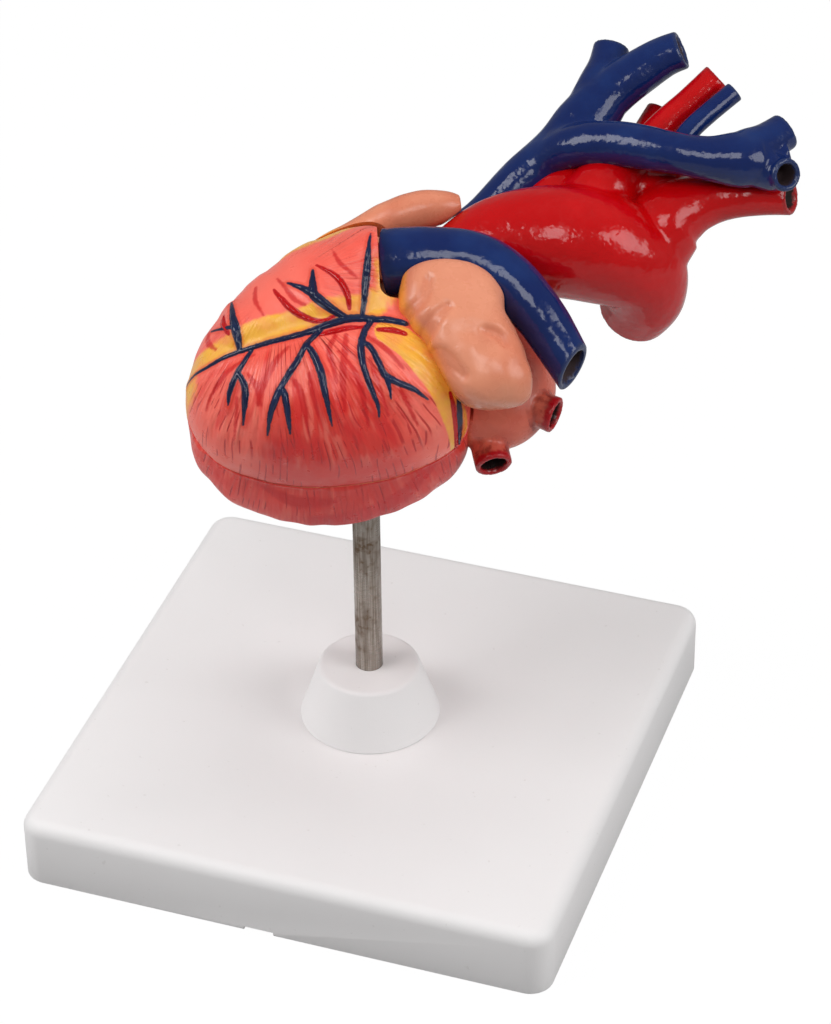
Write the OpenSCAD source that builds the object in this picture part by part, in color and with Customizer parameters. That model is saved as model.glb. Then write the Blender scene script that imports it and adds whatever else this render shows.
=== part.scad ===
// Anatomy model of the human heart on a steel rod and a square white base.
// The heart opens at its seam plane: the front wall lifts off the back half,
// the great vessels pull out of the base of the heart, and the heart turns
// on the rod and lifts off it.  Millimetres, +Z up, origin under the base.

/* [Base] */
// Side of the square base plate
plate_w = 160; // [130:1:200]
// Height of the base plate
plate_h = 21.4; // [18:0.1:28]
// Radius of the plate's upright corners
plate_corner = 6.9; // [5:0.1:14]
// Rounding of the plate's top edge
plate_round = 4.3; // [1:0.1:4.6]
// Wall of the moulded plate
plate_wall = 2.6; // [2:0.1:4]
// Thickness of the ribs under the plate
rib_t = 2; // [1.2:0.1:3]
// Thickness of the panel that closes the underside
cover_t = 2; // [1.5:0.1:3]
// Width of the pry notch in the front bottom edge
notch_w = 9; // [5:0.5:15]
// Height of the pry notch
notch_h = 1.3; // [0.8:0.1:1.8]

/* [Boss and rod] */
// Diameter of the rod boss at the plate
boss_foot_d = 41.4; // [34:0.2:50]
// Diameter of the rod boss at its top
boss_top_d = 30.4; // [22:0.2:32]
// Height of the rod boss
boss_h = 18; // [12:0.5:26]
// Rounding of the boss's top edge
boss_round = 1.6; // [0.5:0.1:3]
// Diameter of the steel rod
rod_d = 8; // [6:0.1:10]
// Length of rod between the boss and the mouth of the heart's socket
rod_show = 60.6; // [50:0.2:90]
// Depth of the rod in the socket
rod_grip = 19.5; // [14:0.5:20]
// Chamfer on the rod's ends
rod_chamfer = 0.6; // [0.3:0.1:1]
// Radial running clearance round the rod
rod_play = 0.06; // [0.03:0.01:0.1]
// Wall of the socket sleeve
socket_wall = 2.4; // [1.6:0.1:3]

/* [Heart] */
// Length of the ventricles along the seam, from the apex to the base
heart_len = 84; // [76:1:96]
// Height of the front wall over the seam plane
front_h = 31; // [28:0.5:34]
// Depth of the back half under the seam plane
back_h = 34; // [32:0.5:38]
// Gap that shows at the seam
seam = 0.5; // [0.3:0.1:1]
// Depth of the chambers in the front wall
chamber_front = 19; // [15:0.5:21]
// Depth of the chambers in the back half
chamber_back = 10; // [8:0.5:10.5]
// Fullness of both halves' section, the power in its rounded outline
section_p = 2.35; // [2.1:0.05:2.6]
// Diameter of the round magnets in the seam
magnet_d = 6; // [4:0.5:7]
// Thickness of the magnets
magnet_t = 2.5; // [1.5:0.5:4]

/* [Vessels] */
// Diameter of the ascending aorta
aorta_d = 30; // [26:0.5:31]
// Diameter of the pulmonary trunk
trunk_d = 19; // [16:0.5:20]
// Diameter of the superior vena cava
cava_d = 16; // [13:0.5:17]
// Diameter of the left brachiocephalic vein
left_vein_d = 13; // [11:0.5:14]
// Diameter of the arteries on the arch
branch_d = 9; // [7:0.5:9.5]
// Diameter of the main coronary veins
coronary_d = 2.4; // [1.6:0.2:3]
// Thickness of the valve cusps
leaflet_t = 0.9; // [0.6:0.1:1.4]
// Wall at the open vessel ends
rim_t = 1.5; // [1:0.1:2]
// Wall of the aorta's hollow root
root_t = 3.2; // [2.8:0.1:4]
// Depth of the hollow in the open vessel ends
mouth_depth = 7; // [4:0.5:9]
// Gap between the front wall and the end of the pulmonary trunk
notch_gap = 1.9; // [1.6:0.1:3]
// Gap between pieces that come apart
part_gap = 0.5; // [0.3:0.1:0.8]
// Gap between pieces that stay together
fit = 0.1; // [0.05:0.01:0.2]

/* [Hidden] */
$fn = 64;

muscle = [0.84, 0.31, 0.27];
atrial = [0.91, 0.58, 0.45];
venous = [0.08, 0.17, 0.38];
arterial = [0.74, 0.07, 0.09];
ivory = [0.93, 0.8, 0.62];

k = heart_len / 84;            // in-plane scale of the sculpted shapes
boss_z = plate_h + boss_h;     // top of the boss
mouth_z = boss_z + rod_show;   // mouth of the socket
rod_top = mouth_z + rod_grip;
rod_foot = cover_t + 3;        // the rod stands on the floor of the post
bore_r = rod_d / 2 + rod_play;
heart_at = [-10 * k, 1 * k, mouth_z + 42 * k];
lean = [35, 19.3, 20];         // tilt, turn and roll of the heart on its rod
reach = 60 * k;                // how far a sweep or a cut runs out of the heart
clear = 80 * k;                // taller than either half of the heart

// The heart's own frame: x to the vessels, y to its right side, z forward.
module in_heart() {
    translate(heart_at) rotate([0, 0, lean[1]]) rotate([lean[0], 0, 0])
        rotate([0, 0, lean[2]]) children();
}
// Sculpted children are joined into one skin.
module one_skin() { resize([0, 0, 0]) children(); }

// ---- curves -------------------------------------------------------------
function xyz(p) = [p[0], p[1], p[2]];
function unit(v) = v / norm(v);
function mean(r) = [for (p = r) 1] * r / len(r);
// Smooth curve from b to c, with a and d as the neighbours
function bend(a, b, c, d, u) = 0.5 * (2 * b + (c - a) * u
    + (2 * a - 5 * b + 4 * c - d) * u * u
    + (3 * b - a - 3 * c + d) * u * u * u);
// Radius at angle t on a closed outline of evenly spaced radii
function outline_r(v, t) = let (n = len(v), s = (t + 360) / 360 * n, i = floor(s))
    bend(v[(i - 1) % n], v[i % n], v[(i + 1) % n], v[(i + 2) % n], s - i);
// Stations [x, y, z, radius] filled in with m steps between each pair
function route(st, m) = let (n = len(st)) concat(
    [for (i = [0 : n - 2], j = [0 : m - 1])
        bend(st[max(i - 1, 0)], st[i], st[i + 1], st[min(i + 2, n - 1)], j / m)],
    [st[n - 1]]);
function heading(q, i) =
    unit(xyz(q[min(i + 1, len(q) - 1)]) - xyz(q[max(i - 1, 0)]));
// Ring of n points square to t; drop lets the lower half hang down
function ring(p, t, r, n, drop, up = [0, 0, 1]) = let (a = unit(cross(t, up)), b = cross(a, t))
    [for (j = [0 : n - 1]) let (u = 360 * j / n)
        p + r * cos(u) * a + r * sin(u) * b - (sin(u) < -0.01 ? drop : 0) * [0, 0, 1]];

// Closed solid through rings of points
module skin(rings) {
    n = len(rings[0]);
    m = len(rings);
    polyhedron(
        concat([for (r = rings) each r], [mean(rings[0]), mean(rings[m - 1])]),
        concat(
            [for (j = [0 : n - 1]) [n * m, (j + 1) % n, j]],
            [for (j = [0 : n - 1]) let (e = (m - 1) * n) [n * m + 1, e + j, e + (j + 1) % n]],
            [for (i = [0 : m - 2], j = [0 : n - 1]) let (a = i * n + j, b = i * n + (j + 1) % n)
                each [[a, b, a + n], [b, b + n, a + n]]]));
}
// Vessel through stations [x, y, z, radius]; an open one has a blind mouth
module vessel(st, n = 12, m = 2, open = false, grow = 0, drop = 0, up = [0, 0, 1]) {
    q = route(st, m);
    e = len(q) - 1;
    t = heading(q, e);
    outer = [for (i = [0 : e]) ring(xyz(q[i]), heading(q, i), q[i][3] + grow, n, drop, up)];
    lip = q[e][3] - rim_t;
    skin(open ? concat(outer, [
            ring(xyz(q[e]), t, lip, n, 0, up),
            ring(xyz(q[e]) - t * mouth_depth, t, lip * 0.85, n, 0, up)]) : outer);
}
// Stations scaled with the heart; d sets the girth where the share is 1
function sized(st, d) = [for (p = st) [p[0] * k, p[1] * k, p[2] * k, p[3] * d / 2]];

// ---- forms of the ventricles ---------------------------------------------
mid = [-5, 0];
bow = 9;                       // how far the back half bows out on its low side
// Radii of the seam outline about mid, every 22.5 degrees
rim = [38, 39, 43.5, 37.5, 31.5, 29.5, 30.5, 33.5, 37.5, 37.6, 34.8, 33.8, 35.2, 40, 46, 42.5];
function share(x, y, grow) =
    norm([x, y] - mid) / (outline_r(rim, atan2(y - mid[1], x - mid[0])) + grow / k);
function crown(q) = pow(max(0, 1 - pow(min(q, 1), section_p)), 1 / section_p);
function hump(x, y, x0, y0, a, b) = exp(-pow((x - x0) / a, 2) - pow((y - y0) / b, 2));
// Rise and fall of the front wall: outflow cone, left and right swell, groove
function front_swell(x, y) =
    2.6 * hump(x, y, 16, 17, 14, 11) + 2.2 * hump(x, y, -2, -17, 26, 11)
    + 1.4 * hump(x, y, -16, 14, 14, 9)
    - 2.4 * exp(-pow((y - 1 + 0.115 * x) / 4.5, 2)) * exp(-pow((x + 6) / 34, 4));
// The outflow cone rises to meet the pulmonary trunk and keeps its height near the rim
function outflow_cone(x, y, q) = 12 * hump(x, y, 30, 21, 13, 10) * (1 - pow(min(q, 1), 14));
function front_z(x, y, grow = 0) = let (q = share(x, y, grow)) (front_h + grow) * crown(q)
    + (1 - pow(min(q, 1), 4)) * front_swell(x, y) + outflow_cone(x, y, q);
// The back half bows out past the seam on the side that lies down
function back_swell(x, y) =
    -2 * hump(x, y, 0, 2, 30, 5) + 1.5 * hump(x, y, -12, -14, 20, 12);
function back_z(x, y, grow = 0) = let (t = atan2(y - mid[1], x - mid[0]),
        q = norm([x, y] - mid) / (outline_r(rim, t) + bowed(t) + grow / k))
    -(back_h + grow) * crown(q) - (1 - pow(min(q, 1), 4)) * back_swell(x, y);

function bowed(t) = bow * max(0, -sin(t + 15));
function dome_ring(a, n, side, grow) = let (q = pow(cos(a), 2 / section_p))
    [for (j = [0 : n - 1]) let (t = 360 * j / n,
            r = q * (outline_r(rim, t) + grow / k + (side > 0 ? 0 : bowed(t) * min(1, sin(a) * 2.4))),
            x = mid[0] + r * cos(t), y = mid[1] + r * sin(t))
        [x * k, y * k, side > 0 ? front_z(x, y, grow) : -(back_h + grow) * sin_crown(a)
            - (1 - pow(q, 4)) * back_swell(x, y)]];
function sin_crown(a) = pow(max(0, 1 - pow(cos(a), 2)), 1 / section_p);
module front_form(grow = 0, n = 40, m = 8) {
    skin(concat([for (i = [m : -1 : 1]) dome_ring(87 * i / m, n, 1, grow)],
        [[for (p = dome_ring(0, n, 1, grow)) [p[0], p[1], seam / 2 - grow]]]));
}
module back_form(grow = 0, n = 40, m = 8) {
    skin(concat([[for (p = dome_ring(0, n, -1, grow)) [p[0], p[1], -seam / 2 + grow]]],
        [for (i = [1 : m]) dome_ring(87 * i / m, n, -1, grow)]));
}
// Outline of the seam as a flat shape
module seam_shape(grow) {
    polygon([for (j = [0 : 39]) let (t = 360 * j / 40, r = outline_r(rim, t) * k + grow)
        [mid[0] * k + r * cos(t), mid[1] * k + r * sin(t)]]);
}
// Egg-shaped hollow; the halves have their own depth
function egg_ring(c, r, d, a, n) = [for (j = [0 : n - 1]) let (t = 360 * j / n)
    [(c[0] + r[0] * cos(a)) * k, (c[1] + r[1] * sin(a) * cos(t)) * k,
        r[2] * sin(a) * sin(t) * (sin(t) > 0 ? d[0] : d[1])]];
module egg(c, r, d, n = 16, m = 7) {
    skin([for (i = [0 : m]) egg_ring(c, r, d, 6 + 168 * i / m, n)]);
}
lv_at = [-9, -14];
rv_at = [1, 14.5];
module left_chamber(inset = 0) {
    egg(lv_at, [27 - inset, 11.5 - inset, 1],
        [chamber_front - inset, chamber_back - inset]);
    translate([4 * k, lv_at[1] * k, 0]) rotate([0, 90, 0])
        cylinder(r = 9 * k - inset, h = 17 * k - inset, $fn = 24);
}
module right_chamber(inset = 0) {
    difference() {
        egg(rv_at, [25 - inset, 11 - inset, 1],
            [chamber_front - 1 - inset, chamber_back - inset]);
        egg(lv_at, [33 + inset, 17.5 + inset, 1],
            [chamber_front + 7 + inset, chamber_back + 7 + inset]);
    }
}

// ---- routes of the vessels --------------------------------------------------
trunk_st = sized([[23.1, 17.4, 17, 1.02], [33.4, 13.9, 18.9, 0.96], [45.1, 8.6, 19.2, 0.9],
    [51.9, 0.9, 19, 0.85], [56.2, -8.9, 18, 0.78], [59, -18.4, 16, 0.72],
    [61, -29, 14, 0.65]], trunk_d);
aorta_st = sized([[36.5, 11, 0, 0.72], [47, 15, 3, 0.82], [58.5, 15.5, 4.5, 0.95],
    [72.6, 11, 5, 1.06], [84.3, 5.4, 2, 1.06], [92, -1, -4, 0.93], [93.2, -5.5, -13, 0.78],
    [90, -6, -23, 0.7]], aorta_d);
arch_up = [-0.13, 0.85, -0.41];   // square to the plane of the arch
cava_st = sized([[51, 28.5, -8.5, 0.72], [58.5, 29.8, -7, 0.82], [71.4, 34.7, -4, 0.95],
    [84, 39, -1, 1], [93, 43.6, 1, 1.06], [100.7, 48.1, 2, 0.96]], cava_d);
stub_a_st = sized([[94, 45, 1.5, 0.85], [100.6, 52.6, 1, 0.74], [106, 58.4, -0.5, 0.68],
    [110.2, 64.5, -2, 0.66]], cava_d);
stub_b_st = sized([[95, 45, 2, 0.9], [105, 49.6, 3, 0.87], [114.5, 52, 4.5, 0.8],
    [121.5, 53.2, 5.5, 0.73], [127, 53.2, 6, 0.7]], cava_d);
left_vein_st = sized([[66, 31, -4, 0.55], [73, 34.5, -2, 0.68], [80, 37, 2, 0.88], [88, 35.2, 7.5, 0.98],
    [97, 30.6, 11.5, 0.99], [104, 25.2, 14.5, 0.97], [111, 19.6, 17, 0.9], [118.5, 15.1, 17, 0.96],
    [126.5, 12.1, 16, 1.2], [132, 10.2, 15, 1.12]], left_vein_d);
stub_c_st = sized([[127, 12.5, 16, 1.1], [132, 13.5, 15, 1.04], [137, 14.8, 14, 0.88],
    [143.5, 17, 12, 0.82]], left_vein_d);
stub_d_st = sized([[130, 10.5, 15.5, 1], [133.5, 6.5, 15, 0.9], [135.8, 3.6, 16.8, 0.76],
    [136.9, 1.6, 19.2, 0.72]], left_vein_d);
stub_e_st = sized([[133, 9.8, 15, 0.5], [137, 9.6, 15, 0.42], [141, 9.2, 15.5, 0.36]], left_vein_d);
subclavian_st = sized([[96, 2, -3, 2.6], [104.5, 7.6, 0.5, 2.5], [111, 8.8, 2, 2], [117.5, 8.2, 3, 1.6],
    [124.2, 6.2, 4, 1.32], [132, 3.6, 4, 1.2], [139.5, 1, 3, 1.15]], branch_d);
innominate_st = sized([[80, 17, 2, 2.1], [90, 21.5, 3, 2.15], [98, 25.5, 3, 1.6], [105.7, 29.3, 2, 1.25],
    [114.2, 34.1, 3, 1.05], [123.2, 37.6, 4, 1], [133.5, 41.9, 5, 1.02]], branch_d);
carotid_st = sized([[98, 24, -1, 1.1], [106.1, 32.3, -3, 1.05], [112, 38, -5, 1], [117, 42.5, -6, 0.95]],
    branch_d);
thyroid_st = sized([[110, 21, 9.5, 0.7], [113.5, 23.4, 11, 0.7], [118.4, 26.9, 11.5, 0.67],
    [125.3, 30, 11.5, 0.66], [135, 33.8, 11, 0.66]], branch_d);
auricle_st = sized([[-18, 25, -4, 0.2], [-9, 29, -2.5, 0.28], [1.3, 31.5, 0.5, 0.36],
    [11, 32.5, 3, 0.46], [20.4, 32.8, 5, 0.54], [30, 33.2, 7, 0.62], [39.2, 32.4, 8, 0.62],
    [46.5, 30.8, 8, 0.5], [50.3, 29.9, 8, 0.3]], 18);
atrium_mid = [41, -17, -9];
right_atrium_mid = [21, 22, -15];

module arch(grow = 0, open = false) {
    vessel(aorta_st, 18, 2, open = open, grow = grow, up = arch_up);
}
// Direction of the trunk at its end beside the notch, and a frame on that axis
trunk_axis = heading(route(trunk_st, 2), 0);
module in_trunk(along) {
    translate(xyz(trunk_st[0])) rotate([0, acos(trunk_axis[2]), atan2(trunk_axis[1], trunk_axis[0])])
        translate([0, 0, along]) children();
}
// Space that the great vessels sweep as they pull out
module pull_out(grow) {
    vessel(trunk_st, 14, 2, grow = grow);
    arch(grow);
    translate(xyz(trunk_st[0])) rotate([0, 90, 0])
        cylinder(r = trunk_st[0][3] + grow, h = reach, $fn = 32);
    translate(xyz(aorta_st[0]) - [grow, 0, 0]) rotate([0, 90, 0])
        cylinder(r = aorta_st[1][3] + grow, h = reach, $fn = 32);
    translate(xyz(aorta_st[1])) rotate([0, 90, 0])
        cylinder(r = aorta_st[1][3] + grow, h = reach, $fn = 32);
    translate(xyz(cava_st[0]) - [grow, 0, 0]) rotate([0, 90, 0])
        cylinder(r = cava_st[0][3] + grow + 0.8, h = reach, $fn = 32);
}
magnet_at = [[-37.5, -3], [25.5, -4.5], [16, -29.5]];
module seam_magnets(side, grow) {
    for (p = magnet_at)
        translate([p[0] * k, p[1] * k, side > 0 ? seam / 2 - grow : -seam / 2 - magnet_t - grow])
            cylinder(d = magnet_d + 2 * grow, h = magnet_t + 2 * grow, $fn = 24);
}

// ---- stand ----------------------------------------------------------------
module rounded_square(s, r) {
    square([s, s - 2 * r], center = true);
    square([s - 2 * r, s], center = true);
    for (x = [-1, 1], y = [-1, 1]) translate([x, y] * (s / 2 - r)) circle(r);
}
lap = 0.5;                     // how far joined forms run into each other
// Plate with round upright corners and a rolled top edge
module rolled_plate(s, h, rc, rr) {
    linear_extrude(h - rr) rounded_square(s, rc);
    linear_extrude(h) rounded_square(s - 2 * rr, rc - rr);
    for (x = [-1, 1], y = [-1, 1]) translate([x * (s / 2 - rc), y * (s / 2 - rc), h - rr])
        rotate_extrude() {
            square([rc - rr, rr]);
            translate([rc - rr, 0]) intersection() { circle(rr); square(rr); }
        }
    for (a = [0 : 90 : 270]) rotate([0, 0, a])
        translate([s / 2 - rr, s / 2 - rc, h - rr]) rotate([90, 0, 0])
            linear_extrude(s - 2 * rc) {
                intersection() { circle(rr); square(rr); }
                translate([-lap, -lap]) square([rr + lap, lap]);
                translate([-lap, -lap]) square([lap, rr + lap]);
            }
}
post_r = bore_r + 4;
module base_plate() {
    color("white") difference() {
        rolled_plate(plate_w, plate_h, plate_corner, plate_round);
        // hollow underside, with cross ribs and the post that takes the rod
        translate([0, 0, -1]) difference() {
            linear_extrude(plate_h - plate_wall + 1)
                rounded_square(plate_w - 2 * plate_wall, plate_corner - plate_wall);
            translate([0, 0, cover_t + 1 + fit]) {
                cylinder(r = post_r, h = plate_h);
                for (a = [0, 90]) rotate([0, 0, a])
                    translate([-plate_w / 2, -rib_t / 2, 0]) cube([plate_w, rib_t, plate_h]);
            }
        }
        translate([0, 0, rod_foot]) cylinder(r = bore_r, h = plate_h);
        translate([-6 - notch_w / 2, -plate_w / 2 - 1, -1])
            cube([notch_w, 1 + plate_wall / 2, 1 + notch_h]);
    }
}
module base_cover() {
    color("whitesmoke") linear_extrude(cover_t)
        rounded_square(plate_w - 2 * plate_wall - 2 * fit, plate_corner - plate_wall - fit);
}
module rod_boss() {
    color("white") translate([0, 0, plate_h]) rotate_extrude() difference() {
        union() {
            polygon([[0, 0], [boss_foot_d / 2, 0], [boss_top_d / 2, boss_h - boss_round],
                [boss_top_d / 2 - boss_round, boss_h - boss_round / 2],
                [boss_top_d / 2 - boss_round, boss_h], [0, boss_h]]);
            translate([boss_top_d / 2 - boss_round, boss_h - boss_round]) circle(boss_round);
        }
        square([bore_r, boss_h + 1]);
    }
}
module rod() {
    color("silver") translate([0, 0, rod_foot]) rotate_extrude() polygon([
        [0, 0], [rod_d / 2 - rod_chamfer, 0], [rod_d / 2, rod_chamfer],
        [rod_d / 2, rod_top - rod_foot - rod_chamfer],
        [rod_d / 2 - rod_chamfer, rod_top - rod_foot], [0, rod_top - rod_foot]]);
}

// ---- back half and what it carries --------------------------------------------
socket_r = bore_r + socket_wall;
module back_half() {
    color(muscle) one_skin() difference() {
        in_heart() difference() {
            back_form();
            left_chamber();
            right_chamber();
            seam_magnets(-1, fit);
            pull_out(part_gap);
        }
        translate([0, 0, mouth_z - 30]) cylinder(r = socket_r + fit, h = rod_grip + 30 + socket_wall + fit, $fn = 32);
    }
}
module rod_socket() {
    color("dimgray") translate([0, 0, mouth_z]) difference() {
        cylinder(r = socket_r, h = rod_grip + socket_wall);
        translate([0, 0, -1]) cylinder(r = bore_r, h = rod_grip + 1);
    }
}
module egg_at(c, r, n = 18, m = 8) {
    translate(c * k) skin([for (i = [0 : m]) let (a = 7 + 166 * i / m)
        [for (j = [0 : n - 1]) let (t = 360 * j / n)
            [r[0] * cos(a), r[1] * sin(a) * cos(t), r[2] * sin(a) * sin(t)] * k]]);
}
module left_atrium_form(grow = 0) {
    egg_at(atrium_mid, [18.5, 20, 15] + [grow, grow, grow]);
}
module right_atrium_form(grow = 0) {
    egg_at(right_atrium_mid, [25, 17, 13.5] + [grow, grow, grow]);
}
module left_atrium() {
    color(atrial) one_skin() in_heart() difference() {
        left_atrium_form();
        back_form(fit);
        linear_extrude(clear) seam_shape(part_gap);
        pull_out(part_gap);
        // the left auricle, which lifts off, starts over this level
        translate([0, 0, 5]) linear_extrude(clear) square(2 * clear, center = true);
    }
}
module right_atrium() {
    color(atrial) one_skin() in_heart() difference() {
        right_atrium_form();
        back_form(fit);
        left_atrium_form(fit);
        linear_extrude(clear) seam_shape(part_gap);
        pull_out(part_gap);
    }
}
module right_auricle() {
    color(atrial) one_skin() in_heart() difference() {
        vessel(auricle_st, 14, 2);
        right_atrium_form(fit);
        back_form(fit);
        translate([0, 0, -seam / 2]) linear_extrude(clear) seam_shape(part_gap);
        pull_out(part_gap);
    }
}
vein_mouths = [
    [[44, -26, -6, 0.9], [49.5, -29.5, -5, 0.9], [54.5, -34.5, -4.5, 0.92]],
    [[35, -30, -10, 0.9], [34.2, -35.5, -9, 0.95], [33.4, -41, -8, 0.95]],
    [[44, -8, -20, 0.9], [47, -4, -24, 0.9], [51, 1, -28, 0.92]],
    [[38, -18, -20, 0.9], [39, -15, -26, 0.9], [41, -11, -31, 0.92]]];
module pulmonary_veins() {
    color(arterial) one_skin() in_heart() difference() {
        union() for (v = vein_mouths) vessel(sized(v, 11), 12, 2, open = true);
        left_atrium_form(fit);
        back_form(fit);
        right_atrium_form(fit);
    }
}
cava_low_st = sized([[10, 24, -20, 1], [3, 27, -27, 1], [-3, 29, -34, 1.02]], 15);
module inferior_vena_cava() {
    color(venous) one_skin() in_heart() difference() {
        vessel(cava_low_st, 14, 3, open = true);
        right_atrium_form(fit);
        back_form(fit);
    }
}
// Vessel that lies on a wall: points [x, y, radius] set on the surface
function on_front(st) = [for (p = st) [p[0] * k, p[1] * k, front_z(p[0], p[1]), p[2] * coronary_d / 2]];
function on_back(st) = [for (p = st) [p[0] * k, p[1] * k, back_z(p[0], p[1]), p[2] * coronary_d / 2]];
module coronary_sinus() {
    color(venous) one_skin() in_heart() difference() {
        union() {
            vessel(on_back([[25, -20, 1.2], [24, -8, 1.6], [21, 3, 1.8], [16, 8, 1.7]]), 6, 1);
            vessel(on_back([[18, 4, 1.2], [4, 1, 1.1], [-12, 0, 1], [-28, 0, 0.7]]), 6, 1);
        }
        back_form();
        left_atrium_form(fit);
        right_atrium_form(fit);
    }
}
// Half of a valve's skirt of thin cusps, open along the seam
module valve(r, h, cusps) {
    skin([for (i = [0 : 18]) let (u = 10 * i, e = h * (0.62 + 0.38 * abs(cos(cusps * u))),
            c = r - 2.4 * e / h)
        [for (p = [[r, 0], [c, e], [c - leaflet_t, e], [r - leaflet_t - 0.6, 0]])
            [p[0] * cos(u), p[0] * sin(u), p[1]]]]);
}
module mitral_valve() {
    color(ivory) in_heart() translate([20.5 * k, lv_at[1] * k, -seam / 2 - fit])
        rotate([0, -90, 0]) rotate([0, 0, 90])
        valve(9 * k - 5 * fit, 9, 2);
}
module tricuspid_valve() {
    color(ivory) in_heart() translate([17 * k, (rv_at[1] + 2.5) * k, -seam / 2 - fit])
        rotate([0, -90, 0]) rotate([0, 0, 90])
        valve(6 * k - 4 * fit, 7, 3);
}
papilla_st = [
    [[-30, -20, -5, 0.9], [-20, -18, -4.5, 1], [-8, -17, -3.5, 0.6]],
    [[-30, -9, -5, 0.9], [-20, -9.5, -4.5, 1], [-8, -10.5, -3.5, 0.6]],
    [[-19, 17, -5, 0.7], [-10, 17, -4.5, 0.75], [-1, 16.5, -3.5, 0.45]]];
module papillary_muscles() {
    color(muscle) one_skin() in_heart() intersection() {
        union() for (p = papilla_st) vessel(sized(p, 6.5), 9, 2);
        union() { left_chamber(fit); right_chamber(fit); }
        translate([0, 0, -clear - seam / 2]) cube(2 * clear, center = true);
    }
}
chord_st = [
    [[-7.7, -17, -3.5], [11.5, -20, -3]], [[-7.7, -17, -3.5], [11.8, -16.5, -5.5]],
    [[-7.7, -10.5, -3.5], [11.5, -8.3, -3]], [[-7.7, -10.5, -3.5], [11.8, -11.5, -5.5]],
    [[-0.8, 16.5, -3.5], [10, 13.5, -3]], [[-0.8, 16.5, -3.5], [10, 20, -3]]];
module chordae() {
    color(ivory) in_heart() for (c = chord_st) {
        d = c[1] * k - c[0] * k;
        translate(c[0] * k) rotate([0, acos(d[2] / norm(d)), atan2(d[1], d[0])])
            cylinder(d = 0.8, h = norm(d), $fn = 16);
    }
}
module magnets_back() {
    color("gray") in_heart() seam_magnets(-1, 0);
}

// ---- front wall and what it carries ---------------------------------------------
// Notch beside the end of the pulmonary trunk, square to its first stretch
notch_r = 3;                   // rounding of the notch's lower corner
notch_low = 4;                 // how far the notch runs on below the trunk
module trunk_notch() {
    slant = atan2(trunk_axis[1], trunk_axis[0]);
    translate([trunk_st[0][0], trunk_st[0][1], -1]) rotate([0, 0, slant])
        translate([-notch_gap, -trunk_st[0][3] - notch_low]) linear_extrude(clear)
            offset(r = notch_r, $fn = 24) offset(delta = -notch_r) square(reach);
}
module front_wall() {
    color(muscle) one_skin() in_heart() difference() {
        front_form();
        left_chamber();
        right_chamber();
        seam_magnets(1, fit);
        trunk_notch();
        vessel(trunk_st, 14, grow = part_gap, drop = front_h);
        pull_out(part_gap);
    }
}
lobe_mid = [36, -11];
// Radii of the left auricle about lobe_mid, every 22.5 degrees
lobe = [12, 14, 17, 20, 22, 23.3, 20, 15.8, 13, 13.2, 15, 20, 23.5, 25.5, 18.5, 13.5];
function lobe_ring(a, n) = let (q = pow(cos(a), 0.8)) [for (j = [0 : n - 1]) let (t = 360 * j / n,
        r = q * outline_r(lobe, t), x = lobe_mid[0] + r * cos(t), y = lobe_mid[1] + r * sin(t))
    [x, y, 22 + (a > 0 ? 10.5 : 14) * pow(abs(sin(a)), 0.8) * sign(a)
        + (a > 0 ? 2.4 * sin(a) * q * cos(t * 3 + 40) : 0)] * k];
module left_auricle() {
    color(atrial) one_skin() in_heart() difference() {
        skin([for (a = [84 : -21 : -84]) lobe_ring(a, 24)]);
        front_form(fit);
        left_atrium_form(part_gap);
        vessel(trunk_st, 14, grow = part_gap, drop = front_h);
        pull_out(part_gap);
    }
}
vein_st = [
    [[21, -4.6, 1], [17, -2.5, 1.2], [7, 0.8, 1.1], [-7, 1.3, 1], [-20, 3, 0.9], [-30, 4.2, 0.7], [-38, 5.4, 0.45]],
    [[10, 0.6, 0.8], [12.4, 4.2, 0.9], [15, 9, 1], [18, 15, 0.8], [20.5, 21, 0.4]],
    [[6.2, 1.4, 1], [1, 7.7, 1.2], [-0.5, 12, 1], [2, 17.5, 0.4]],
    [[-0.2, 11, 1], [-5.5, 16.5, 0.5]],
    [[-24, 4, 0.9], [-23.2, 10, 1.1], [-22.5, 14, 0.9], [-21, 20, 0.4]],
    [[-20.5, 2.8, 0.8], [-24.5, -0.4, 0.9], [-27.2, -2.5, 0.9], [-31, -6.5, 0.7], [-32.5, -9, 0.3]],
    [[-27, -2.3, 0.8], [-26.7, -6.5, 0.9], [-28, -10.5, 0.8], [-30.2, -15, 0.35]],
    [[-1.5, 0.8, 0.9], [-7.4, -3, 1], [-11.7, -7, 0.9], [-19, -12.8, 0.9], [-25, -20, 0.35]],
    [[-18.8, -12.6, 0.8], [-18.4, -18, 0.8], [-19.2, -22.2, 0.35]],
    [[-7.2, -2.8, 0.9], [-6.4, -8, 1], [-6.4, -13, 0.9], [-8, -24.5, 0.35]],
    [[11.7, -1.6, 0.9], [6.5, -8.4, 1], [5.1, -14.5, 0.9], [5.3, -26, 0.35]],
    [[7, -8, 0.8], [9.4, -15, 0.9], [10.5, -18.8, 0.9], [18.8, -26, 0.35]]];
module coronary_veins() {
    color(venous) one_skin() in_heart() difference() {
        union() for (v = vein_st) vessel(on_front(v), 6, 1);
        front_form();
        left_auricle_clear();
    }
}
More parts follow.
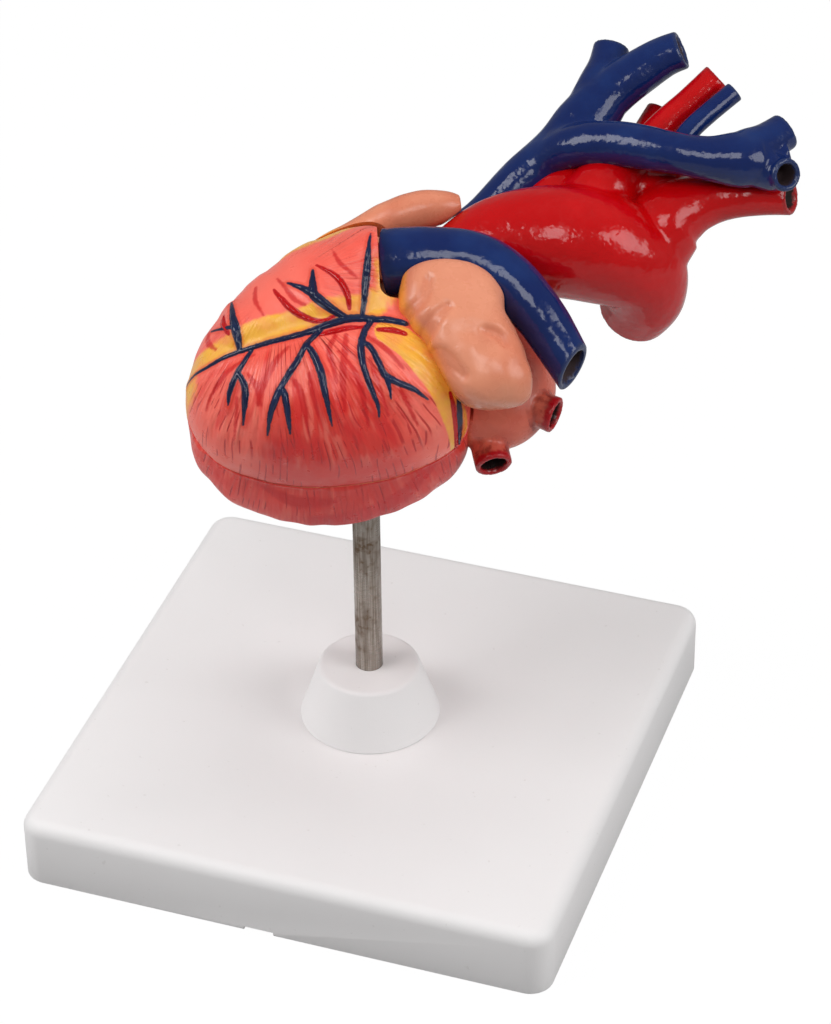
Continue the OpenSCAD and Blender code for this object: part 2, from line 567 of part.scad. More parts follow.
// The auricle covers the vessels' ends from here on
module left_auricle_clear() {
    intersection() {
        skin([for (a = [84 : -28 : -84]) lobe_ring(a, 16)]);
        translate([23 * k, -2 * clear, -2 * clear]) cube(4 * clear);
    }
}
artery_st = [
    [[20, -7.6, 1], [12, -4.6, 0.9], [4, -2, 0.8], [-3, -1, 0.6]],
    [[0, 3.6, 0.7], [-8, 5.5, 0.7], [-13, 12, 0.5], [-17, 18, 0.3]],
    [[8, 4, 0.6], [6, 12, 0.6], [2, 21, 0.3]],
    [[2.5, -5, 0.7], [-1, -13, 0.6], [-4, -21, 0.3]]];
module coronary_arteries() {
    color(arterial) one_skin() in_heart() difference() {
        union() for (v = artery_st) vessel(on_front(v), 6, 1);
        front_form();
        union() for (v = vein_st) vessel(on_front(v), 6, 1, grow = 0.12);
        left_auricle_clear();
    }
}
module magnets_front() {
    color("gray") in_heart() seam_magnets(1, 0);
}

// ---- great vessels ----------------------------------------------------------------
module aorta() {
    color(arterial) one_skin() in_heart() difference() {
        arch(0, true);
        vessel(trunk_st, 14, 2, grow = fit);
        // hollow root with its valve
        translate(xyz(aorta_st[0]) - [1, 0, 0]) rotate([0, 90, 0])
            cylinder(r = aorta_st[0][3] - root_t, h = 5, $fn = 20);
    }
}
module arch_arteries() {
    color(arterial) one_skin() in_heart() difference() {
        union() {
            vessel(subclavian_st, 8, 2, open = true);
            vessel(innominate_st, 8, 2, open = true);
            vessel(carotid_st, 8, 2, open = true);
        }
        arch(fit);
    }
}
module pulmonary_trunk() {
    color(venous) one_skin() in_heart() difference() {
        vessel(trunk_st, 14, 2, open = true);
        in_trunk(-1) cylinder(r = trunk_st[0][3] - rim_t, h = 5, $fn = 20);
    }
}
module superior_vena_cava() {
    color(venous) one_skin() in_heart() difference() {
        union() {
            vessel(cava_st, 12, 2);
            vessel(stub_a_st, 11);
            vessel(stub_b_st, 11);
        }
        arch(fit);
        // the mouths stay open through the fork
        mouth(stub_a_st);
        mouth(stub_b_st);
    }
}
// Blind hollow of a vessel's open end
module mouth(st) {
    q = route(st, 2);
    e = len(q) - 1;
    t = heading(q, e);
    lip = q[e][3] - rim_t;
    skin([ring(xyz(q[e]) - t * mouth_depth, t, lip * 0.85, 10, 0), ring(xyz(q[e]) + t * 0.01, t, lip, 10, 0)]);
}
module left_brachiocephalic_vein() {
    color(venous) one_skin() in_heart() difference() {
        union() {
            vessel(left_vein_st, 12, 2);
            vessel(stub_c_st, 11);
            vessel(stub_d_st, 11);
            vessel(stub_e_st, 7, 1);
        }
        mouth(stub_c_st);
        mouth(stub_d_st);
        vessel(cava_st, 12, 2, grow = fit);
        vessel(stub_b_st, 10, grow = fit);
        arch(fit);
        vessel(innominate_st, 8, 2, grow = fit);
        vessel(subclavian_st, 8, 2, grow = fit);
    }
}
module thyroid_vein() {
    color(venous) one_skin() in_heart() difference() {
        vessel(thyroid_st, 8, 2, open = true);
        vessel(left_vein_st, 12, 2, grow = fit);
        vessel(innominate_st, 8, 2, grow = fit);
    }
}
// Three cusps that meet at the middle of a round root
module cusps(r) {
    difference() {
        cylinder(r = r, h = 1.6, $fn = 32);
        for (a = [0, 120, 240]) rotate([0, 0, a]) translate([0, -0.3, -1]) cube([r - 1, 0.6, 4]);
        for (a = [60, 180, 300]) rotate([0, 0, a]) translate([r * 0.52, 0, -0.6])
            cylinder(r = r * 0.3, h = 1.6, $fn = 24);
    }
}
module aortic_valve() {
    color(ivory) in_heart() difference() {
        translate(xyz(aorta_st[0]) + [2.2, 0, 0]) rotate([0, 90, 0])
            cusps(aorta_st[0][3] - root_t - fit);
        vessel(trunk_st, 14, 2, grow = fit);
    }
}
module pulmonary_valve() {
    color(ivory) in_heart() in_trunk(2.2) cusps(trunk_st[0][3] - rim_t - fit);
}

base_plate();
base_cover();
rod_boss();
rod();
back_half();
rod_socket();
left_atrium();
right_atrium();
right_auricle();
pulmonary_veins();
inferior_vena_cava();
coronary_sinus();
mitral_valve();
tricuspid_valve();
papillary_muscles();
chordae();
magnets_back();
front_wall();
left_auricle();
coronary_veins();
coronary_arteries();
magnets_front();
aorta();
arch_arteries();
pulmonary_trunk();
superior_vena_cava();
left_brachiocephalic_vein();
thyroid_vein();
aortic_valve();
pulmonary_valve();
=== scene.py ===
"""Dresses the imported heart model: cast and hand-painted plastic on a steel rod in a white base."""
import math

import bpy
import numpy as np
from mathutils import Matrix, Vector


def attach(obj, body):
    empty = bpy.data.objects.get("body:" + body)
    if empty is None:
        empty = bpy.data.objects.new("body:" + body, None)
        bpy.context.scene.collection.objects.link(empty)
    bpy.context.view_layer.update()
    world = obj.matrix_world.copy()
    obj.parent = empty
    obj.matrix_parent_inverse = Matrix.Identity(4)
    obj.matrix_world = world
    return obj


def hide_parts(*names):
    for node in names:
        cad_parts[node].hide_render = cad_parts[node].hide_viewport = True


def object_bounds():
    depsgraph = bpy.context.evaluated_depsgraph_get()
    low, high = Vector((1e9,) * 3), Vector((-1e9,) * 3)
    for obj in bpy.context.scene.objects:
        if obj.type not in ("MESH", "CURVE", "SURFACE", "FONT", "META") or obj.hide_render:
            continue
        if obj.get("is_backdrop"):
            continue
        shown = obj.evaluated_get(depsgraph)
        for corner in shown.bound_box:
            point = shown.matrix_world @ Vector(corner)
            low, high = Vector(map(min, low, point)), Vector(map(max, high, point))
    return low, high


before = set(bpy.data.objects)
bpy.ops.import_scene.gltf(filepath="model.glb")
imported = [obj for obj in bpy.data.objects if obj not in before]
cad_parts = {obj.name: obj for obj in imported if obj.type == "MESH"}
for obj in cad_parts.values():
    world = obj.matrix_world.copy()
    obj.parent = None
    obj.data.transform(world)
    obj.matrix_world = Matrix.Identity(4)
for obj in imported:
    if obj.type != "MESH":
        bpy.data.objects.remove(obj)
CAD_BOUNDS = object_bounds()
COLLECTION = bpy.context.scene.collection
MM = 0.001

# ---- camera
CAMERA_AT = (0.300518, -0.813774, 0.736958)
CAMERA_RIGHT = (0.94598135, 0.32406783, -0.00996651)
CAMERA_UP = (-0.18534431, 0.56574619, 0.80347914)
CAMERA_BACK = (0.26602026, -0.75822904, 0.59524948)
LENS = 132.586


def make_camera():
    """A long lens on the photograph's side; its axes are the rows above."""
    data = bpy.data.cameras.new("camera")
    data.lens, data.sensor_width = LENS, 36.0
    data.clip_end = 20.0
    camera = bpy.data.objects.new("camera", data)
    COLLECTION.objects.link(camera)
    turn = Matrix((CAMERA_RIGHT, CAMERA_UP, CAMERA_BACK)).transposed().to_4x4()
    camera.matrix_world = Matrix.Translation(CAMERA_AT) @ turn
    bpy.context.scene.camera = camera


make_camera()

# ---- the heart's own frame, in millimetres
HEART_AT = np.array([-10.0, 1.0, 142.0])
LEAN, TURN, ROLL = 35.0, 19.3, 20.0


def turned(axis, degrees):
    """Rotation matrix about x (0) or z (2)."""
    c, s = math.cos(math.radians(degrees)), math.sin(math.radians(degrees))
    i, j = (1, 2) if axis == 0 else (0, 1)
    m = np.eye(3)
    m[i, i], m[i, j], m[j, i], m[j, j] = c, -s, s, c
    return m


# Columns: towards the vessels, across the notch, and out of the front wall
HEART_AXES = turned(2, TURN) @ turned(0, LEAN) @ turned(2, ROLL)


def to_world(p):
    """Heart-frame millimetres to world metres."""
    return (HEART_AT + p @ HEART_AXES.T) * MM


# ---- noise
def lattice(i, j, k, seed):
    """A repeatable value from -1 to 1 at each whole-number point."""
    h = (i * 374761393 + j * 668265263 + k * 1440662683 + seed * 974634777) & 0xFFFFFFFF
    h = ((h ^ (h >> 13)) * 1274126177) & 0xFFFFFFFF
    return ((h ^ (h >> 16)) & 0xFFFF) / 32767.5 - 1.0


def noise(p, scale, seed):
    """Smooth value noise: lattice values blended by 3t^2 - 2t^3 along each axis."""
    q = np.asarray(p, float) / scale
    i = np.floor(q).astype(np.int64)
    t = q - i
    t = t * t * (3 - 2 * t)
    out = 0.0
    for dx in (0, 1):
        for dy in (0, 1):
            for dz in (0, 1):
                w = 1.0
                for a, d in enumerate((dx, dy, dz)):
                    w = w * (t[..., a] if d else 1 - t[..., a])
                out = out + w * lattice(i[..., 0] + dx, i[..., 1] + dy, i[..., 2] + dz, seed)
    return out


def rolling(p, scale, seed):
    """A noise, and half as much of one half as wide."""
    return noise(p, scale, seed) + noise(p, scale / 2, seed + 1) / 2


def plane_noise(u, v, scale, seed):
    """Noise over two numbers."""
    return noise(np.stack([u, v, np.zeros_like(u)], -1), scale, seed)


def ease(a, b, x):
    """0 below a, 1 above b, smooth between."""
    t = np.clip((x - a) / (b - a), 0, 1)
    return t * t * (3 - 2 * t)


# ---- curves
def bend(a, b, c, d, u):
    """Smooth curve from b to c with a and d as its neighbours."""
    return 0.5 * (2 * b + (c - a) * u + (2 * a - 5 * b + 4 * c - d) * u**2
                  + (3 * b - a - 3 * c + d) * u**3)


def outline(radii, t):
    """Radius at t degrees on a closed outline of evenly spaced radii."""
    radii, n = np.asarray(radii, float), len(radii)
    s = ((t + 360) / 360 * n) % n
    i = np.floor(s).astype(int)
    return bend(radii[(i - 1) % n], radii[i % n], radii[(i + 1) % n], radii[(i + 2) % n], s - i)


def route(stations, m):
    """Stations filled in with m steps between each pair."""
    st = np.asarray(stations, float)
    n = len(st)
    u = np.arange(m)[:, None] / m
    runs = [bend(st[max(i - 1, 0)], st[i], st[i + 1], st[min(i + 2, n - 1)], u)
            for i in range(n - 1)]
    return np.vstack(runs + [st[-1:]])


def unit(v):
    """Vectors at length 1."""
    return v / np.maximum(np.linalg.norm(v, axis=-1, keepdims=True), 1e-12)


def headings(q):
    """Direction of travel at each point of a route."""
    ahead = np.vstack([q[1:], q[-1:]])
    behind = np.vstack([q[:1], q[:-1]])
    return unit(ahead[:, :3] - behind[:, :3])


def at_height(ring, z):
    """Points in the plane, lifted to a height."""
    return np.column_stack([ring, np.full(len(ring), z)])


def full_turn(n):
    """n even steps round a circle, in radians."""
    return np.arange(n) * 2 * math.pi / n


def circle(n, r):
    """n points round a circle in the plane."""
    return r * np.column_stack([np.cos(full_turn(n)), np.sin(full_turn(n))])


# ---- meshes
def new_object(name, verts, faces):
    """A mesh object from an array of points and arrays of faces of one length each."""
    mesh = bpy.data.meshes.new(name)
    mesh.vertices.add(len(verts))
    mesh.vertices.foreach_set("co", np.ascontiguousarray(verts, np.float32).ravel())
    faces = [f for f in faces if len(f)]
    sizes = np.concatenate([np.full(len(f), f.shape[1]) for f in faces])
    mesh.loops.add(int(sizes.sum()))
    mesh.loops.foreach_set("vertex_index", np.concatenate([f.ravel() for f in faces]).astype(np.int32))
    mesh.polygons.add(len(sizes))
    mesh.polygons.foreach_set("loop_start", np.concatenate([[0], np.cumsum(sizes)[:-1]]).astype(np.int32))
    mesh.update(calc_edges=True)
    mesh.validate()
    obj = bpy.data.objects.new(name, mesh)
    COLLECTION.objects.link(obj)
    return obj


def closed_grid(name, rings):
    """Closed solid through rings of points (m, n, 3), with a fan at each end, facing out."""
    m, n = rings.shape[:2]
    i, j = np.meshgrid(np.arange(m - 1), np.arange(n), indexing="ij")
    a, b = i * n + j, i * n + (j + 1) % n
    quads = np.stack([a, b, b + n, a + n], -1).reshape(-1, 4)
    k = np.arange(n)
    first = np.stack([np.full(n, m * n), (k + 1) % n, k], -1)
    last = np.stack([np.full(n, m * n + 1), (m - 1) * n + k, (m - 1) * n + (k + 1) % n], -1)
    verts = np.vstack([rings.reshape(-1, 3), rings[0].mean(0), rings[-1].mean(0)])
    tris = np.vstack([quads[:, :3], quads[:, [0, 2, 3]], first, last])
    p, q, r = (verts[tris[:, c]] for c in range(3))
    if (p * np.cross(q, r)).sum() < 0:
        quads, first, last = quads[:, ::-1], first[:, ::-1], last[:, ::-1]
    return new_object(name, verts, [quads, np.vstack([first, last])])


def stacked(name, ring, levels):
    """Upright solid over a ring in the plane, between two heights."""
    return closed_grid(name, np.array([at_height(ring, z) for z in levels]))


def points(obj):
    """The mesh's points as an array."""
    v = np.empty(len(obj.data.vertices) * 3, np.float32)
    obj.data.vertices.foreach_get("co", v)
    return v.reshape(-1, 3).astype(float)


def set_points(obj, p):
    """Moves the mesh's points."""
    obj.data.vertices.foreach_set("co", np.ascontiguousarray(p, np.float32).ravel())
    obj.data.update()


def facing(obj):
    """The mesh's normals at its points."""
    n = np.empty(len(obj.data.vertices) * 3, np.float32)
    obj.data.vertex_normals.foreach_get("vector", n)
    return n.reshape(-1, 3).astype(float)


def applied(obj):
    """Turns the object's modifiers into its mesh."""
    graph = bpy.context.evaluated_depsgraph_get()
    mesh = bpy.data.meshes.new_from_object(obj.evaluated_get(graph))
    obj.modifiers.clear()
    obj.data = mesh
    return obj


def cut(obj, *others, how="DIFFERENCE", keep=False):
    """Cuts the others out of obj, or joins or intersects them, and drops them unless kept."""
    for other in others:
        mod = obj.modifiers.new("cut", "BOOLEAN")
        mod.operation, mod.solver, mod.object = how, "MANIFOLD", other
        applied(obj)
        if not keep:
            bpy.data.objects.remove(other)
    return obj


def fused(*parts, voxel=0.5):
    """One skin around overlapping closed solids."""
    verts, faces, base = [], [], 0
    for part in parts:
        corners = np.empty(len(part.data.loops), np.int32)
        part.data.loops.foreach_get("vertex_index", corners)
        sizes = np.empty(len(part.data.polygons), np.int32)
        part.data.polygons.foreach_get("loop_total", sizes)
        starts = np.cumsum(sizes) - sizes
        for size in (3, 4):
            faces.append(corners[starts[sizes == size][:, None] + np.arange(size)] + base)
        verts.append(points(part))
        base += len(verts[-1])
        bpy.data.objects.remove(part)
    whole = new_object("skin", np.vstack(verts), faces)
    mod = whole.modifiers.new("skin", "REMESH")
    mod.mode, mod.voxel_size, mod.adaptivity = "VOXEL", voxel, 0.0
    return applied(whole)


def relaxed(obj, rounds, weight=None, keep_size=True):
    """Moves each point towards the mean of its neighbours, by weight, and part of the way back."""
    edges = np.empty(len(obj.data.edges) * 2, np.int32)
    obj.data.edges.foreach_get("vertices", edges)
    a, b = edges.reshape(-1, 2).T
    p = points(obj)
    n = len(p)
    count = np.maximum(np.bincount(a, minlength=n) + np.bincount(b, minlength=n), 1)
    weight = 1.0 if weight is None else weight[:, None]
    for _ in range(rounds):
        for step in (0.5, -0.52) if keep_size else (0.5,):
            mean = np.stack([np.bincount(a, p[b, c], n) + np.bincount(b, p[a, c], n)
                             for c in range(3)], -1) / count[:, None]
            p = p + weight * step * (mean - p)
    set_points(obj, p)
    return obj


def near(p, centre, radius):
    """1 at a centre, falling to 0 at the radius."""
    return 1 - ease(0.35, 1.0, np.linalg.norm(p - np.asarray(centre), axis=1) / radius)


def attribute(obj, name, values):
    """A number at each point, in place of any layer of that name that a cutter left."""
    layers = obj.data.attributes
    if name in layers:
        layers.remove(layers[name])
    layers.new(name, "FLOAT", "POINT").data.foreach_set("value", np.asarray(values, np.float32))


def placed(obj, name, world=True):
    """Names the piece, shades it smooth and moves its points to the world, in metres."""
    obj.name = obj.data.name = name
    if world:
        set_points(obj, to_world(points(obj)))
    obj.data.polygons.foreach_set("use_smooth", np.ones(len(obj.data.polygons), bool))
    obj.data.set_sharp_from_angle(angle=math.radians(38))
    return obj


def dressed(obj, body, slot, look, *nodes):
    """Rides the piece on a body, gives its finish, and hides what it stands for; slot is not used."""
    obj.data.materials.clear()
    obj.data.materials.append(look)
    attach(obj, body)
    if nodes:
        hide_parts(*nodes)
    return obj


# ---- forms of the heart
MID = np.array([-5.0, 0.0])
RIM = [38, 39, 43.5, 37.5, 31.5, 29.5, 30.5, 33.5, 37.5, 37.6, 34.8, 33.8, 35.2, 40, 46, 42.5]
SECTION = 2.35
FRONT_H, BACK_H, BOW = 31.0, 34.0, 9.0
SEAM = 0.25
LEFT_AT, RIGHT_AT = np.array([-9.0, -14.0]), np.array([1.0, 14.5])
SPREAD = np.array([-7.0, 18.0])


def polar(x, y):
    """Distance from the middle, and turn in degrees."""
    dx, dy = x - MID[0], y - MID[1]
    return np.hypot(dx, dy), np.degrees(np.arctan2(dy, dx))


def hump(x, y, x0, y0, a, b):
    """exp(-((x - x0) / a)^2 - ((y - y0) / b)^2)"""
    return np.exp(-((x - x0) / a) ** 2 - ((y - y0) / b) ** 2)


def share(x, y):
    """Distance from the middle as a share of the seam outline's radius there."""
    away, t = polar(x, y)
    return away / outline(RIM, t)


def over_vein(x, y):
    """How far a point lies above the straight line that the main vein follows."""
    return y - 1 + 0.115 * x


def front_swell(x, y):
    """Bulges over the ventricles and the groove of the main vein between them."""
    return (2.6 * hump(x, y, 16, 17, 14, 11) + 2.2 * hump(x, y, -2, -17, 26, 11)
            + 1.4 * hump(x, y, -16, 14, 14, 9)
            - 2.4 * np.exp(-(over_vein(x, y) / 4.5) ** 2) * np.exp(-((x + 6) / 34) ** 4))


def crown(q):
    """Height of a full section at a share q of its half width: (1 - q^p)^(1/p)."""
    return np.maximum(0, 1 - np.minimum(q, 1) ** SECTION) ** (1 / SECTION)


def front_z(x, y):
    """Crown, soft swells and the cone of the outflow that carries the trunk."""
    q = np.minimum(share(x, y), 1)
    cone = 12 * hump(x, y, 30, 21, 13, 10) * (1 - q**14)
    return FRONT_H * crown(q) + (1 - q**4) * front_swell(x, y) + cone


def bowed(t):
    """How far the back half bulges past the seam outline at its low side."""
    return BOW * np.maximum(0, -np.sin(np.radians(t + 15)))


def back_form(x, y, fullness=1.0):
    """Share of the back half's outline and its radius; its low side bows out below the seam."""
    away, t = polar(x, y)
    radius = outline(RIM, t) + bowed(t) * fullness
    return away / radius, radius


def back_swell(x, y):
    """Bulge over the left ventricle and the groove across the back."""
    return -2 * hump(x, y, 0, 2, 30, 5) + 1.5 * hump(x, y, -12, -14, 20, 12)


def back_z(x, y):
    """The back half's outer form, below the seam."""
    q = np.minimum(back_form(x, y)[0], 1)
    return -BACK_H * crown(q) - (1 - q**4) * back_swell(x, y)


def line_distance(x, y, lines):
    """Distance in the plane to the nearest of some poly-lines, less the local half width."""
    best = np.full(np.shape(x), 99.0)
    for line in lines:
        st = route(line, 4)
        for p, q in zip(st[:-1], st[1:]):
            d = q[:2] - p[:2]
            t = np.clip(((x - p[0]) * d[0] + (y - p[1]) * d[1]) / max(d @ d, 1e-9), 0, 1)
            r = np.hypot(x - p[0] - t * d[0], y - p[1] - t * d[1]) - (p[2] + t * (q[2] - p[2]))
            best = np.minimum(best, r)
    return best


# Veins on the front wall: x, y and half width
VEINS = [
    [[20.8, -4.6, 1.0], [17.1, -2.6, 1.25], [13, -1.1, 1.2], [6.8, 0.9, 1.15], [-0.3, 1.2, 1.05],
     [-7.3, 1.2, 1.0], [-15.3, 2.3, 0.95], [-20.6, 3, 0.85], [-27.7, 4, 0.75], [-33.3, 4.3, 0.6],
     [-37.6, 5.2, 0.45], [-40, 5.0, 0.3]],
    [[10, 0.3, 0.7], [12, 4.0, 0.8], [14.4, 8.9, 1.15], [16.4, 13, 1.1], [18, 16.5, 0.8], [20.5, 21.5, 0.3]],
    [[6.2, 1.2, 0.9], [3.4, 4.2, 1.1], [0.9, 7.7, 1.45], [-0.2, 10.4, 1.4], [0.6, 13.4, 1.1],
     [2.1, 17.6, 0.4]],
    [[-0.2, 10.2, 1.2], [-2.6, 13.4, 0.9], [-5.6, 16.6, 0.35]],
    [[-24.1, 4.3, 0.9], [-23.6, 7.4, 1.2], [-23.2, 10.2, 1.3], [-22.6, 14.2, 1.0], [-21, 20.6, 0.35]],
    [[-23.2, 10.6, 0.8], [-26.5, 12.6, 0.6], [-29, 14.6, 0.3]],
    [[-20.7, 2.8, 0.7], [-24.5, -0.3, 0.9], [-27.2, -2.5, 1.0], [-30.8, -6.2, 0.8], [-32.4, -9, 0.3]],
    [[-27, -2.2, 0.8], [-26.6, -6.5, 0.95], [-27.7, -10, 0.95], [-30.3, -15.2, 0.3]],
    [[-1.5, 0.9, 0.8], [-5, -1.3, 0.9], [-7.4, -3, 1.0], [-11.7, -7, 0.95], [-17.3, -11.2, 0.95],
     [-19.5, -13.2, 1.0], [-22.6, -16.5, 0.9], [-25.1, -20.4, 0.3]],
    [[-17.6, -11.6, 0.8], [-17.6, -14.6, 1.0], [-18.5, -18.9, 0.85], [-19.3, -22.6, 0.3]],
    [[-7.3, -2.9, 0.9], [-6.6, -5.7, 1.1], [-6.3, -9, 1.15], [-6.4, -12.6, 1.15],
     [-7.2, -17.8, 0.95], [-8.1, -25, 0.3]],
    [[11.7, -1.8, 0.9], [9.3, -4.2, 0.95], [6.5, -8.6, 1.05], [5.2, -13.6, 1.0], [5, -19.6, 0.85],
     [5.4, -24.4, 0.6], [4.8, -27, 0.25]],
    [[6.9, -7.2, 0.7], [8.8, -9.6, 0.85], [9.5, -14.9, 0.95], [10.1, -18.4, 1.0], [13.8, -21.6, 0.95],
     [16.2, -23.2, 0.75], [19.2, -26.4, 0.25]],
    [[10.1, -18.2, 0.8], [9.9, -21.5, 0.6], [9.4, -24, 0.25]],
    [[28.4, -24.5, 0.3], [27.6, -28.5, 0.7], [26.6, -31.5, 0.8], [25.6, -34, 0.4]],
]
# Red arteries beside them
ARTERIES = [
    [[19.4, -7.8, 0.7], [16.6, -6.2, 0.95], [13, -5.1, 0.6]],
    [[9.6, -3.1, 0.4], [5.6, -1.6, 0.7], [1.4, -1.2, 0.75], [-2.6, -0.9, 0.4]],
    [[3, 2.9, 0.3], [-1.6, 3.0, 0.6], [-6.9, 7.8, 0.8], [-9, 13.3, 0.55], [-9.6, 16.6, 0.2]],
    [[7.6, 3.6, 0.4], [8.4, 7.4, 0.8], [7.4, 12.6, 0.8], [3.6, 18.6, 0.25]],
    [[-25.4, 9.6, 0.3], [-25.6, 14, 0.7], [-24.3, 18, 0.2]],
    [[26.1, -25.5, 0.3], [25.7, -29.5, 0.6], [25.2, -32.5, 0.7], [24.4, -35, 0.4]],
]
# Red brush strokes
STROKES = [
    [[4, -3.6, 0.5], [1.6, -9, 0.9], [-1.5, -16, 0.9], [-3.6, -23, 0.3]],
    [[1.5, -2.6, 0.4], [-2, -6.6, 0.8], [-2.6, -12, 0.7], [-3.2, -16, 0.3]],
    [[-12, -1.2, 0.5], [-17, -4.4, 0.8], [-22.5, -9.5, 0.8], [-25, -13, 0.2]],
    [[-14.6, -9.8, 0.3], [-13.2, -14, 0.8], [-13.8, -19.6, 0.7], [-14.6, -24, 0.2]],
    [[-21, 0.6, 0.3], [-29, -0.4, 0.8], [-35, -3.4, 0.5], [-38, -6, 0.2]],
    [[-24.6, -4, 0.4], [-23.8, -8, 0.6], [-24.2, -13.6, 0.2]],
    [[9, -6.4, 0.3], [12.5, -11, 0.6], [15.4, -17.4, 0.3]],
    [[0.2, -8, 0.3], [2.4, -14.6, 0.7], [2.2, -22, 0.7], [1.2, -28, 0.2]],
    [[7.6, -12.4, 0.3], [7.2, -19, 0.7], [7.4, -27, 0.3]],
    [[12.4, -21.4, 0.3], [13.2, -25.6, 0.6], [14.4, -31, 0.2]],
    [[-9.4, -11, 0.3], [-10.4, -16.4, 0.6], [-10.8, -22, 0.2]],
    [[-29.6, -8.6, 0.3], [-31.4, -12.8, 0.5], [-34, -17, 0.2]],
    [[12.4, 11, 0.3], [9.6, 16.4, 0.6], [9.4, 22, 0.2]],
    [[-3.6, 8.4, 0.3], [-5.8, 11.6, 0.5], [-7.4, 20, 0.2]],
    [[-30, 8, 0.3], [-31, 12, 0.6], [-29, 17, 0.2]],
    [[-15, 10, 0.2], [-15.4, 15.6, 0.5], [-13.6, 21, 0.2]],
]
# Fat along the groove beside the left auricle
FAT_LINE = [[[15.5, -6.6, 2.6], [19.6, -12, 2.8], [22.6, -18.6, 2.8], [24.6, -25, 2.6],
             [25.4, -31, 2.2], [25, -35, 1.0]]]


def fan(x, y, about):
    """How far round, in millimetres, about the point that the muscle spreads from."""
    turn = np.arctan2(y - about[1], x - about[0]) - 0.26
    return np.degrees(np.mod(turn, 2 * math.pi)) * 0.62


def front_relief(x, y):
    """Height of the front wall's carving over its smooth form: soft swellings, ridges that
    run down from the main vein, raised banks beside the veins and a soft pad of fat."""
    q = share(x, y)
    low = 1 - ease(-6, -1, over_vein(x, y))
    vein = line_distance(x, y, VEINS)
    down = np.hypot(x - SPREAD[0], y - SPREAD[1])
    ridges = 0.5 * low * plane_noise(fan(x, y, SPREAD), down * 0.12, 3.4, 43) * (1 - ease(0.8, 0.93, q))
    upper = 0.3 * (1 - low) * plane_noise(x + 0.4 * y, y * 0.4, 3.6, 21)
    banks = 0.5 * np.exp(-(np.maximum(vein, 0) / 1.5) ** 2)
    fat = 0.35 * (1 - ease(0, 4, line_distance(x, y, FAT_LINE)))
    bulk = 0.25 * plane_noise(x, y, 8.5, 41)
    return (bulk + ridges + upper + banks + fat) * (1 - ease(0.97, 1.0, q))


def inside(x, y, z, q, radius, height, surface):
    """How far, in millimetres, a point lies inside the outer form: the lesser of its depth
    under the surface and its distance in from the outline at that height."""
    edge = crown(np.abs(z) / height)
    return np.minimum(np.abs(surface) - np.abs(z), (edge - q) * radius)


def dome(side, around, up, relief):
    """Half of the ventricles. Round turn t and rise a, the radius is cos(a)^(2/p) of the
    outline, and the height follows the crown; the edge at the seam is rounded by 0.5 mm."""
    t = np.arange(around) * 360 / around
    a = np.radians(np.linspace(1.0, 89.6, up))
    q = np.cos(a)[:, None] ** (2 / SECTION)
    r = outline(RIM, t)[None]
    if side < 0:
        r = r + bowed(t)[None] * np.minimum(1, np.sin(a) * 2.4)[:, None]
    x = MID[0] + q * r * np.cos(np.radians(t))
    y = MID[1] + q * r * np.sin(np.radians(t))
    if side > 0:
        z = np.maximum(front_z(x, y), SEAM + 0.5)
    else:
        z = -BACK_H * (np.sin(a) ** (2 / SECTION))[:, None] - (1 - q**4) * back_swell(x, y)
        z = np.minimum(z, -SEAM - 0.5)
    body = np.stack([x, y, z], -1)
    normal = unit(np.cross(np.roll(body, -1, 1) - np.roll(body, 1, 1), np.gradient(body, axis=0)))
    normal = normal * np.sign((normal[up // 2, 0, :2] * (body[up // 2, 0, :2] - MID)).sum())
    body = body + normal * relief(x, y)[..., None]
    out = np.stack([np.cos(np.radians(t)), np.sin(np.radians(t))], -1)
    lip = [at_height(MID + (r[0] - inset)[:, None] * out, side * (SEAM + rise))
           for inset, rise in ((0.55, 0.0), (0.22, 0.05), (0.06, 0.2))]
    return np.concatenate([np.array(lip), body])


def egg(c, r, front, back, rough=0.0, seed=0):
    """Egg-shaped hollow of the ventricles: along the long axis r0 cos(a), and round it
    r1 sin(a) cos(t) and depth sin(a) sin(t), its wall folded into soft strands."""
    a = np.radians(6 + 168 * np.linspace(0, 1, 60))[:, None]
    t = full_turn(90)[None]
    depth = np.where(np.sin(t) > 0, front, back)
    p = np.stack([c[0] + r[0] * np.cos(a) + 0 * t, c[1] + r[1] * np.sin(a) * np.cos(t),
                  depth * np.sin(a) * np.sin(t)], -1)
    out = unit(p - np.array([c[0], c[1], 0.0]))
    strands = noise(p * [0.4, 1, 1], 3.2, seed) + 0.5 * noise(p * [0.5, 1, 1], 1.6, seed + 1)
    strands = rough * np.minimum(strands, 0.4) * ease(0.0, 3.0, np.abs(p[..., 2]))
    return p + out * strands[..., None]


def left_chamber():
    """Hollow of the left ventricle with its way out to the aorta."""
    shape = closed_grid("left_chamber", egg(LEFT_AT, (27, 11.5), 19, 10, rough=0.7, seed=61))
    u = np.linspace(4, 21, 12)[:, None]
    t = full_turn(48)[None]
    pipe = np.stack([u + 0 * t, LEFT_AT[1] + 9 * np.cos(t) + 0 * u, 9 * np.sin(t) + 0 * u], -1)
    return cut(shape, closed_grid("outflow", pipe), how="UNION")


def right_chamber():
    """Hollow of the right ventricle, kept clear of the left by a wall."""
    shape = closed_grid("right_chamber", egg(RIGHT_AT, (25, 11), 18, 10, rough=0.9, seed=71))
    return cut(shape, closed_grid("septum", egg(LEFT_AT, (33, 17.5), 26, 17)))


# ---- vessels
WALL = 1.5


